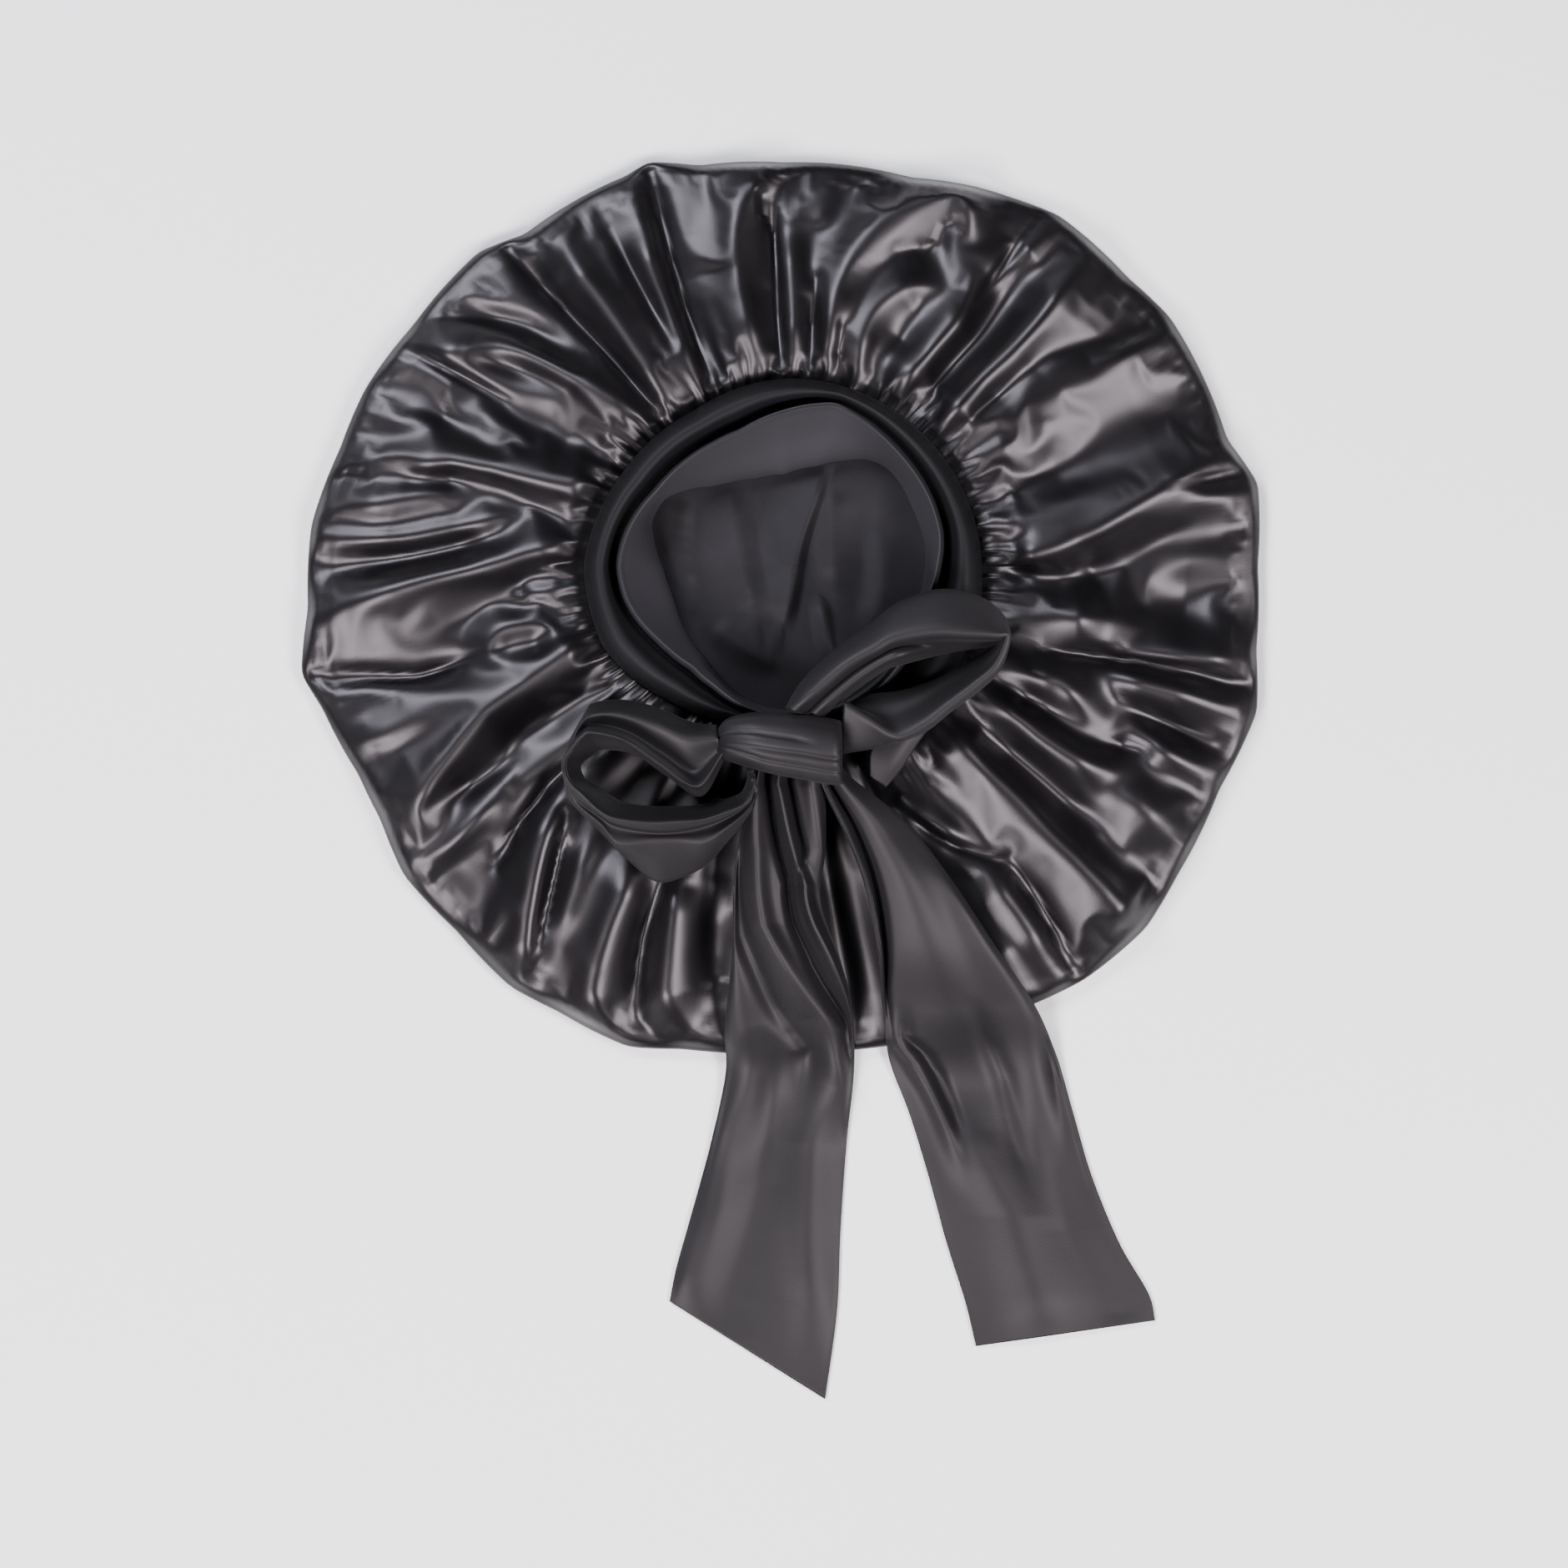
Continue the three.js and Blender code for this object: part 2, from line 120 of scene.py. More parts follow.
def gridMesh(name, columns, rows, place, flat, closed=False):
    # a create_grid sheet whose points go where place(u, v) says; flat gives the cut's own coordinates
    bm = bmesh.new()
    bmesh.ops.create_grid(bm, x_segments=columns, y_segments=rows, size=0.5)
    bm.verts.ensure_lookup_table()
    u = np.array([vert.co.x for vert in bm.verts]) + 0.5
    v = np.array([vert.co.y for vert in bm.verts]) + 0.5
    uvLayer = bm.loops.layers.uv.new("UVMap")
    cut = flat(u, v)
    for face in bm.faces:
        for loop in face.loops:
            loop[uvLayer].uv = cut[loop.vert.index]
    for vert, spot in zip(bm.verts, place(u, v) * mm):
        vert.co = spot
    if closed:
        bmesh.ops.remove_doubles(bm, verts=bm.verts, dist=1e-6)
    bmesh.ops.recalc_face_normals(bm, faces=bm.faces)
    mesh = bpy.data.meshes.new(name)
    bm.to_mesh(mesh)
    bm.free()
    mesh.shade_smooth()
    piece = bpy.data.objects.new(name, mesh)
    bpy.context.collection.objects.link(piece)
    return piece


def addThickness(piece, thick, side=-1):
    wall = piece.modifiers.new("wall", "SOLIDIFY")
    wall.thickness = thick * mm
    wall.offset = side
    wall.use_even_offset = False


def settle(piece, work):
    # draws the cloth in from a wider cut and lets it settle a little, near its start and without gravity
    count = len(piece.data.vertices) * 3
    spots = np.empty(count)
    piece.data.vertices.foreach_get("co", spots)
    wide = spots.reshape(-1, 3).copy()
    wide[:, :2] += work["wider"](wide / mm) * mm
    piece.shape_key_add(name="placed")
    cut = piece.shape_key_add(name="cut")
    cut.data.foreach_set("co", wide.ravel())
    for step in range(work["frames"] + 1):
        cut.value = max(0, 1 - step / work["pull"])
        cut.keyframe_insert("value", frame=step + 1)
    cloth = piece.modifiers.new("settle", "CLOTH")
    rules = cloth.settings
    rules.quality = work["quality"]
    rules.mass = work["mass"]
    rules.tension_stiffness = rules.compression_stiffness = work["stretch"]
    rules.shear_stiffness = work["stretch"] * work["shear"]
    rules.bending_stiffness = work["bend"]
    rules.air_damping = work["damping"]
    rules.vertex_group_mass = "held"
    rules.effector_weights.gravity = work["gravity"]
    cloth.collision_settings.use_collision = False
    scene = bpy.context.scene
    for step in range(work["frames"]):
        scene.frame_set(step + 1)
        settled = piece.evaluated_get(bpy.context.evaluated_depsgraph_get())
    settled.data.vertices.foreach_get("co", spots)
    piece.modifiers.remove(cloth)
    piece.shape_key_clear()
    piece.animation_data_clear()
    piece.data.vertices.foreach_set("co", spots)
    piece.data.update()
    scene.frame_set(1)
    print("settled", piece.name)


print("bag")
bag = {
    "columns": 500,
    "topRows": 82,
    "underRows": 12,
    "thick": 0.8,
    "cutRadius": 300,
    "soft": 1.6,  # how far neighbouring folds melt together, in millimetres
    "gathers": 58,  # fine gathers round the seam
    "gather": 1.2,
    "run": 1.15,
    "crease": 1.3,
    "crest": 3.6,  # rounding of the crests
    "taper": 20,
    "least": 6.5,  # the valleys stay this high above the floor
}

# Upper layer from seam to rim: share of the way, height
puffRows = [
    (0, 18), (0.05, 19.5), (0.12, 19.2), (0.2, 18.4), (0.3, 17.4), (0.4, 16.4), (0.5, 15.4), (0.61, 14.4),
    (0.72, 13.4), (0.82, 12.2), (0.9, 10.7), (0.95, 9.2), (0.98, 7.8), (1, 5.6),
]

# Folds: crest in (angle, distance) points, run of its right and left side per height, height
folds = [
    ([(1, 88), (3, 102), (7, 126), (11, 149), (14, 184)], (1.3, 3), 10),
    ([(8.5, 142), (9.5, 165), (9, 190)], (2.6, 1.2), 5),
    ([(3, 79), (3.5, 92), (5, 101)], (1.4, 1.4), 5),
    ([(11, 79), (10, 90), (6, 101)], (1.4, 1.4), 5),
    ([(30, 84), (29, 98), (30, 110)], (3, 3), 7),
    ([(22.5, 92), (23, 83), (26, 80)], (1.6, 1.6), 3.5),
    ([(25, 108), (29, 116), (34, 112)], (3, 2.4), 5),
    ([(37, 84), (37.5, 110), (36, 132), (33, 152), (31, 176)], (5, 1.3), 7),
    ([(38.5, 136), (40, 155), (41.5, 176)], (2.2, 2.2), 3.5),
    ([(41, 78), (43, 105), (43.5, 132), (45.5, 176)], (2.6, 1.3), 11),
    ([(53.3, 146), (52.3, 158), (50.5, 172)], (3, 1.2), 5),
    ([(58, 77), (57, 90), (55.5, 105), (54.5, 120), (54.8, 142)], (1.1, 2.6), 9),
    ([(67, 79), (71, 92), (70.5, 108), (66, 121), (59, 128)], (1.5, 2.4), 7),
    ([(77, 80), (79, 105), (77, 130), (71, 150), (64, 160), (59, 146)], (2.8, 1.6), 8),
    ([(76, 77), (79, 100), (80.5, 125)], (2.6, 1.5), 7),
    ([(80, 128), (84, 138), (88, 136)], (3, 3), 3.5),
    ([(87, 77), (88, 95), (89, 118), (88.5, 136)], (3, 1.2), 6),
    ([(92, 146), (93.5, 151), (96, 147), (98.5, 132), (99.5, 112), (98, 92), (95, 78)], (3, 1.6), 8),
    ([(101, 75), (104, 83), (106, 91)], (1.5, 1.5), 4),
    ([(95, 155), (100, 148), (104, 132)], (3, 3), 2),
    ([(114, 78), (114.5, 99), (113.5, 126), (112, 150)], (1.2, 2.6), 7),
    ([(118.5, 76), (119, 110), (119.5, 150)], (1.8, 1.2), 4.5),
    ([(125, 72), (124.7, 105), (124.7, 130), (125.2, 158)], (2.8, 2), 8),
    ([(133, 72), (136, 95), (138.5, 115), (142, 135), (146.5, 152), (150, 172)], (1.4, 2.4), 8),
    ([(141.5, 74), (142, 87), (146.5, 98)], (1.5, 1.5), 6),
    ([(156, 76), (159.5, 92), (161.5, 116), (163.5, 140), (166.5, 165)], (3, 1.2), 9),
    ([(152, 108), (156, 140), (160, 172)], (3.2, 3), 4),
    ([(151, 138), (151.5, 162)], (1.8, 2.2), 4),
    ([(164.5, 120), (168, 140), (171, 160), (173, 180)], (1.4, 1.8), 7),
    ([(168, 104), (172, 120), (175, 138), (176.5, 155), (176.5, 186)], (1.8, 1.2), 6),
    ([(164.5, 77), (167, 86), (169.5, 80)], (1.5, 1.5), 4),
    ([(173, 78), (177, 99), (179.5, 115), (181, 130), (183, 150), (186.5, 188)], (1.6, 1.6), 9),
    ([(184, 79), (186, 92), (187, 105), (190, 112)], (1.5, 1.5), 6),
    ([(192, 86), (191.5, 100), (193, 115), (197, 122), (200, 113), (202, 100), (200, 88), (196, 82)],
     (1.2, 1.2), 6.5),
    ([(182, 130), (187, 142), (190, 156)], (3, 3), 3),
    ([(202, 132), (203, 165), (203, 184)], (5, 5), 4),
    ([(199, 82), (202, 92), (204, 110), (206, 130), (209, 150), (212.5, 168), (218, 184)], (3, 1.3), 10),
    ([(218, 140), (219.5, 160), (220, 184)], (2, 1.2), 5),
    ([(226, 124), (229, 142), (232, 158), (236, 180), (237.5, 194)], (3, 1.1), 9),
    ([(234, 128), (237, 152), (239.5, 182)], (1.2, 2.2), 5),
    ([(243.5, 124), (244, 145), (244.5, 165), (246, 185), (250, 197)], (2.4, 1.6), 9.5),
    ([(249, 124), (252, 142), (253.5, 158), (255, 176), (259, 187)], (1.2, 2.6), 9),
    ([(267, 108), (269, 180)], (3, 3), 4),
    ([(287, 110), (288, 185)], (3, 3), 1.5),
    ([(295, 98), (297, 108), (300, 120), (302, 128), (306, 145)], (1.4, 1.3), 7),
    ([(303, 136), (304, 165), (304, 194)], (3, 1.3), 6.5),
    ([(299.5, 158), (299.5, 192)], (1.6, 1.4), 5),
    ([(313.5, 84), (315, 105), (315.5, 130), (315, 155), (314.5, 185), (314, 200)], (3.2, 1.3), 10),
    ([(314.5, 90), (317, 100), (319.5, 106)], (1.8, 1.8), 4.5),
    ([(327, 86), (327, 105), (326, 122), (326.5, 140), (328, 158)], (2.2, 1.2), 9),
    ([(326.5, 150), (326, 172), (325, 192)], (3.2, 2.4), 7),
    ([(334, 92), (336, 108), (337, 118), (335, 128), (331, 140)], (1.6, 1.5), 8),
    ([(335, 150), (334, 168), (334, 188)], (1.6, 1.6), 5),
    ([(341, 132), (342, 155), (342.5, 186)], (2.2, 1.2), 6.5),
    ([(349, 97), (350, 118), (351, 132)], (3.2, 3.6), 8),
    ([(346.5, 138), (347.5, 168), (349, 188)], (1.2, 3), 6.5),
]

# Creases and hollows: line in (angle, distance) points, half width, depth, sharpness
creases = [
    ([(5, 86), (6.5, 94)], 4, 4, 2), ([(357, 110), (2, 132)], 10, 5, 2),
    ([(11.5, 155), (11.5, 184)], 2.4, 3, 1),
    ([(18, 100), (20, 128)], 10, 2, 2),
    ([(38, 90), (38.5, 125)], 5, 4, 1.6), ([(34.5, 146), (33.5, 172)], 4, 3, 1.6),
    ([(49, 84), (49, 120), (49.5, 155)], 9, 4, 2), ([(54.2, 126), (53.8, 172)], 2.2, 3, 1),
    ([(63, 86), (62, 116)], 6, 4, 1.8), ([(70, 132), (64, 140)], 4, 3, 1.6),
    ([(74.5, 76), (76, 98)], 2.6, 4, 1.2),
    ([(83, 78), (83.5, 114)], 3, 4.5, 1.4), ([(91, 79), (91.5, 144)], 2.4, 5, 1),
    ([(94, 90), (94, 108)], 4, 3, 2),
    ([(111.8, 80), (110.5, 120), (108.7, 169)], 3.4, 6.5, 1), ([(104, 108), (104, 130)], 9, 2, 2),
    ([(117, 100), (117.5, 150)], 3, 3, 1.4), ([(129.3, 78), (130, 120), (131, 166)], 3, 6, 1),
    ([(134.5, 118), (138, 144), (143, 164)], 5, 4, 1.6), ([(141, 110), (144, 135), (147, 152)], 5, 4, 1.6),
    ([(149.3, 128), (149.6, 150), (150.3, 176)], 2.4, 4, 1), ([(151, 90), (150, 108)], 8, 3, 2),
    ([(155.5, 134), (157, 160)], 5, 4, 1.8), ([(165, 122), (166.5, 150)], 5, 4.5, 1.8),
    ([(174.5, 116), (178, 140), (180, 180)], 6, 5, 1.8), ([(178.6, 79), (180, 96)], 2.4, 4, 1.2),
    ([(183, 100), (188, 108)], 6, 5, 2), ([(197.5, 93), (197.5, 113)], 4.5, 4, 2),
    ([(196, 125), (196.5, 150), (194.5, 172), (192.6, 196)], 4, 6, 1.1),
    ([(212, 92), (213, 128)], 10, 3, 2),
    ([(214.5, 134), (214.5, 168)], 5, 4.5, 1.8), ([(222.5, 108), (224, 140), (226, 165)], 3.4, 6, 1.2),
    ([(229.2, 130), (234, 155), (238, 188)], 3, 6, 1),
    ([(248.5, 130), (249.5, 160), (252, 188)], 4.5, 6, 1.4),
    ([(257, 126), (259, 150), (261, 176)], 7, 5, 2), ([(278, 110), (279, 185)], 6, 4, 2),
    ([(294.5, 103), (300, 124), (306, 144)], 2.6, 5, 1),
    ([(307.3, 146), (307, 170), (305.6, 201)], 3, 6, 1),
    ([(304, 92), (307, 104)], 5, 3, 2), ([(320, 98), (320, 130), (319, 165)], 8, 5, 2),
    ([(331, 98), (331, 118)], 4, 4, 1.8), ([(331, 142), (333, 160)], 3.4, 4, 1.4),
    ([(338, 142), (337.5, 185)], 4.5, 4.5, 1.6),
    ([(342, 106), (343.8, 130), (345.3, 160), (345.6, 188)], 2.6, 4.5, 1),
    ([(355, 142), (355, 176)], 14, 5, 2),
    ([(358, 82), (358.5, 108)], 5, 4, 1.8),
]


def unwrapped(points):
    turns = np.degrees(np.unwrap(np.radians([point[0] for point in points])))
    return [(turn, point[1]) for turn, point in zip(turns, points)]


def foldLine(x, y, points):
    # distance from a line given in angles and distances, side of it, and height share near its ends
    line = smoothLine([onPlan(angle, distance) for angle, distance in unwrapped(points)], 5 * len(points))
    nearest, side, along = alongLine(x, y, line)
    length = np.linalg.norm(np.diff(line, axis=0), axis=1).sum()
    taper = 0.3 + 0.7 * easeIn(np.minimum(along, 1 - along) * length / bag["taper"])
    return nearest, side, taper


def bagRelief(x, y):
    # neighbouring folds meet in creases: the highest one wins, softly
    total = np.ones_like(x)
    for points, run, height in folds:
        nearest, side, taper = foldLine(x, y, points)
        slack = np.where(side > 0, run[1], run[0])
        width = bag["run"] * height * slack * (0.7 + 0.3 * taper)
        fall = np.hypot(nearest / width, bag["crest"] / width) - bag["crest"] / width
        hill = height * taper * np.clip(1 - fall, 0, None) ** (1 + np.minimum(slack, 3) / 3)
        total += np.exp(hill / bag["soft"]) - 1
    relief = bag["soft"] * np.log(total)
    for points, width, depth, sharp in creases:
        nearest, side, taper = foldLine(x, y, points)
        relief -= bag["crease"] * depth * taper * np.exp(-((nearest / width) ** sharp))
    return relief


topPart = bag["topRows"] / (bag["topRows"] + bag["underRows"])  # share of the rows above the rim


def bagPlace(u, v):
    angle = 360 * u
    seam = outlineAt(seamOutline, angle)
    rim = outlineAt(rimOutline, angle, 0.8)
    share = 1 - (1 - np.clip(v / topPart, 0, 1)) ** 1.15
    distance = seam + share * (rim - seam)
    x, y = onPlan(angle, distance)
    calm = (0.25 + 0.75 * easeIn(share / 0.12)) * easeIn((1 - share) / 0.035)
    z = column(puffRows, share) + calm * (bagRelief(x, y) + 0.15 * wander(x / 12, y / 12, 4))
    drift = bag["gathers"] * np.radians(angle)  # the waves below space the gathers unevenly
    drift = drift + 2.5 * np.sin(np.radians(7 * angle)) + 1.8 * np.sin(np.radians(13 * angle + 40))
    strong = 0.7 + 0.5 * np.sin(np.radians(9 * angle + 30)) * np.sin(np.radians(4 * angle))
    fine = np.sin(drift) * np.exp(-share / 0.08) + 0.8 * np.sin(1.87 * drift + 1) * np.exp(-share / 0.04)
    z = z + bag["gather"] * strong * fine
    least = 2.5 + (bag["least"] - 2.5) * easeIn((1 - share) / 0.1)
    z = least + np.logaddexp(0, z - least)
    under = np.clip((v - topPart) / (1 - topPart), 0, 1)
    turn = np.clip(under / 0.25, 0, 1)
    reach = (rim - 3.5 * turn**2) * (1 - easeIn((under - 0.25) / 0.75))
    bx, by = onPlan(angle, reach)
    bz = 5.6 * (1 - turn) ** 1.6 + 0.05 + 0.25 * easeIn(1 - under) * turn
    below = v > topPart + 1e-6
    return np.stack([np.where(below, low, high) for low, high in ((bx, x), (by, y), (bz, z))], axis=1)


def bagFlat(u, v):
    # place of each point in the flat round cut, so that the weave keeps its own direction
    rim = outlineAt(rimOutline, 360 * u)
    upper = rim + (bag["cutRadius"] - rim) * (1 - v / topPart)
    out = np.where(v <= topPart, upper, rim * (1 - v) / (1 - topPart))
    turn = np.radians(360 * u)
    return np.stack([out * np.cos(turn), out * np.sin(turn)], axis=1) * mm


bagRows = bag["topRows"] + bag["underRows"]
satinBag = gridMesh("satinBag", bag["columns"], bagRows, bagPlace, bagFlat, closed=True)


def heldGroup(piece, weigh):
    # pin weights from each point's place, in millimetres
    spots = np.empty(len(piece.data.vertices) * 3)
    piece.data.vertices.foreach_get("co", spots)
    weights = weigh(*(spots.reshape(-1, 3) / mm).T)
    held = piece.vertex_groups.new(name="held")
    for index, weight in enumerate(weights):
        held.add([index], float(weight), "REPLACE")


def bagHold(x, y, z):
    distance = np.hypot(x - ringX, y - ringY)
    angle = np.degrees(np.arctan2(y - ringY, x - ringX))
    seam, rim = outlineAt(seamOutline, angle), outlineAt(rimOutline, angle)
    share = (distance - seam) / (rim - seam)
    edges = np.maximum(easeIn(1 - share / 0.08), easeIn((share - 0.92) / 0.06))
    return np.where((share < 0) | (z < 4), 1, bag["hold"] + (1 - bag["hold"]) * edges)


def bagWider(spots):
    # the cut is wider all round, by the same amount near the opening and near the rim
    out = spots[:, :2] - (ringX, ringY)
    distance = np.linalg.norm(out, axis=1, keepdims=True)
    return bag["extra"] * np.clip(distance / 60, 0, 1) * out / np.maximum(distance, 1)


bag.update({
    "hold": 0.06, "quality": 5, "mass": 0.15, "stretch": 20, "shear": 0.4, "bend": 8, "damping": 2,
    "gravity": 0, "frames": 12, "pull": 7, "extra": 3.5, "wider": bagWider,
})
heldGroup(satinBag, bagHold)
settle(satinBag, bag)
bagTree = BVHTree.FromObject(satinBag, bpy.context.evaluated_depsgraph_get())
addThickness(satinBag, bag["thick"])
print("bag points", len(satinBag.data.vertices))


def heightUnder(x, y):
    # top of the bag below each place, or the floor beside it
    heights = []
    for spotX, spotY in zip(np.ravel(x), np.ravel(y)):
        hit = bagTree.ray_cast(Vector((spotX * mm, spotY * mm, 0.2)), Vector((0, 0, -1)))
        heights.append(hit[0].z / mm if hit[0] else 0)
    return np.reshape(heights, np.shape(x))


def loft(name, sections, columns, rows, adjust=None, closed=False):
    # smooth surface through sections, each a short row of (x, y, z) points
    grid = smoothLine(sections, columns + 1)
    grid = np.swapaxes(smoothLine(np.swapaxes(grid, 0, 1), rows + 1), 0, 1)
    if adjust:
        grid = adjust(grid)
    steps = np.linalg.norm(np.diff(grid, axis=0), axis=2).mean(axis=1)
    across = np.linalg.norm(np.diff(grid, axis=1), axis=2).mean(axis=0)
    length = np.concatenate([[0], np.cumsum(steps)])
    width = np.concatenate([[0], np.cumsum(across)])

    def place(u, v):
        return grid[np.rint(u * columns).astype(int), np.rint(v * rows).astype(int)]

    def flat(u, v):
        return np.stack([
            np.interp(v, np.linspace(0, 1, rows + 1), width),
            np.interp(u, np.linspace(0, 1, columns + 1), length),
        ], axis=1) * mm

    piece = gridMesh(name, columns, rows, place, flat, closed)
    print(name, "flat size in mm", round(width[-1]), "x", round(length[-1]))
    return piece


print("lining")
lining = {"columns": 240, "rows": 96, "thick": 1.0, "floorRows": 74, "weaveRadius": 290}
liningRows = [(0, 13), (0.06, 11.5), (0.14, 8), (0.25, 5), (0.5, 4.2), (1, 3.2)]

# Soft folds of the lining floor: crest in millimetres, run of its right and left side, height
liningFolds = [
    ([(17.5, 125), (12.5, 109), (7.4, 93.5), (3.8, 74), (1.4, 62)], (4, 18), 4.8),
    ([(-20, 118), (-17.5, 98), (-13, 78), (-10, 66)], (8, 16), 3.2),
    ([(-38, 112), (-39, 96), (-36, 74)], (5, 12), 2.2),
    ([(20, 116), (21, 98), (21, 78)], (12, 9), 2.8), ([(16.5, 70), (18, 60), (19.5, 50)], (3, 6), 2.4),
    ([(-28, 62), (-14, 52), (2, 48)], (14, 8), 2.4), ([(38, 100), (40, 80), (36, 60)], (16, 8), 2.2),
]


def liningPlace(u, v):
    angle = 360 * u
    seam = outlineAt(seamOutline, angle) - 2
    rim = outlineAt(rimOutline, angle) - 5.5
    down = np.clip(v * lining["rows"] / (lining["rows"] - lining["floorRows"]), 0, 1)
    inward = np.clip((v * lining["rows"] - lining["rows"] + lining["floorRows"]) / lining["floorRows"], 0, 1)
    share = down**1.2
    distance = seam + share * (rim - seam)
    z = column(liningRows, share)
    floorDistance = rim * (1 - inward) ** 1.5  # closer rows inside the opening
    x, y = onPlan(angle, np.where(inward > 0, floorDistance, distance))
    bump = np.zeros_like(x)
    for points, run, height in liningFolds:
        gap, side, along = alongLine(x, y, smoothLine(points, 14))
        slack = np.where(side > 0, run[0], run[1])
        ends = 0.4 + 0.6 * easeIn(np.minimum(along, 1 - along) / 0.2)
        bump += height * ends * np.clip(1 - gap / slack, 0, None) ** 1.3
    bump += 0.7 * (1 + wander(x / 14, y / 30, 11))
    low = 2.2 + easeIn(inward / 0.25) * (0.6 + np.clip(bump, 0, 7)) + (1 - easeIn(inward / 0.08)) * 1.8
    return np.stack([x, y, np.where(inward > 0, low, z)], axis=1)


def roundFlat(u, v):
    out = lining["weaveRadius"] * mm * (1 - v)
    return np.stack([out * np.cos(2 * math.pi * u), out * np.sin(2 * math.pi * u)], axis=1)


liningBag = gridMesh("liningBag", lining["columns"], lining["rows"], liningPlace, roundFlat, closed=True)
addThickness(liningBag, lining["thick"], 1)

print("band")
band = {"columns": 360, "rows": 44, "thick": 1.0}

# Inner edges of the band: angle, lip, lower edge of the facing inside it, height of the lip
bandInner = [
    (0, 60.5, 56, 33), (10, 62.6, 56.6, 33), (25, 63, 56, 33), (40, 63, 57, 33), (51, 63.5, 55, 33.5),
    (60, 64.5, 49, 34),
    (72.5, 65.8, 42, 34), (90, 60, 37, 33.5), (107, 55.3, 37, 33), (118, 55, 39, 33), (130, 55.8, 42, 33),
    (149, 58, 54, 32.5), (160, 61, 56, 32.5), (171, 63.5, 52, 32.5), (180, 64.5, 48.5, 32.5),
    (190, 63.5, 46.5, 32.5),
    (199, 61.2, 46, 33), (212, 57, 47, 33.5), (227.5, 54, 48, 34), (240, 55, 51, 34.5), (254, 58, 55, 35),
    (270, 60, 57, 34.5), (290, 62, 59, 33.5), (310, 61, 58, 33), (330, 59, 56, 33), (345, 58, 55, 33),
    (360, 60.5, 56, 33),
]


def bandSections():
    sections = []
    for angle in np.arange(0, 361, 6):
        seam = float(outlineAt(seamOutline, angle))
        lip, face, high = (float(column(bandInner, angle % 360, index)) for index in (1, 2, 3))
        rolled = seam - lip
        rows = [
            (seam + 1.2, 16), (seam + 0.6, 24), (seam - 1.4, 29.5),
            (seam - 0.34 * rolled, 33.2 + (high - 33) * 0.5),
            (seam - 0.6 * rolled, 31), (lip + 3, 19.5), (lip + 1.6, 24), (lip, high),
            (lip - 1.3, high - 1.2),
            (0.6 * lip + 0.4 * face - 1, 24), (face + 1, 15), (face - 0.5, 8),
        ]
        sections.append([(*onPlan(angle, distance), height) for distance, height in rows])
    return sections


# Right end of the band below the right loop: four places across the strip from its right edge to its left
bandEndSections = [
    [(60, 24, 33), (57, 26, 34), (53, 27.5, 34), (50, 29, 33)],
    [(53, 14.5, 32), (49.5, 16, 34), (46, 17.5, 34), (42.6, 19.4, 33)],
    [(47.2, 5.4, 31), (43.6, 7.4, 33.4), (39.5, 10, 33.6), (35.8, 12.8, 33)],
    [(40.9, -2.2, 30), (38.9, -0.6, 31.4), (37, 0.6, 31.8), (35.2, 1.9, 31.5)],
]
headBand = loft("headBand", bandSections(), band["columns"], band["rows"], closed=True)
bandSteps = np.linalg.norm(np.diff(bandSections(), axis=1), axis=2).mean(axis=0)
# where the inner facing starts across the flat band strip; the band material paints it paler from there, as
# painted light
band["facingFrom"] = bandSteps[:6].sum() * mm
bandEnd = loft("bandEnd", bandEndSections, 40, 16)
for strip in (headBand, bandEnd):
    addThickness(strip, band["thick"])

print("bow")
tie = {"thick": 1.2, "pleat": 1.3, "clear": 1.5, "bridge": 3, "spread": 24}

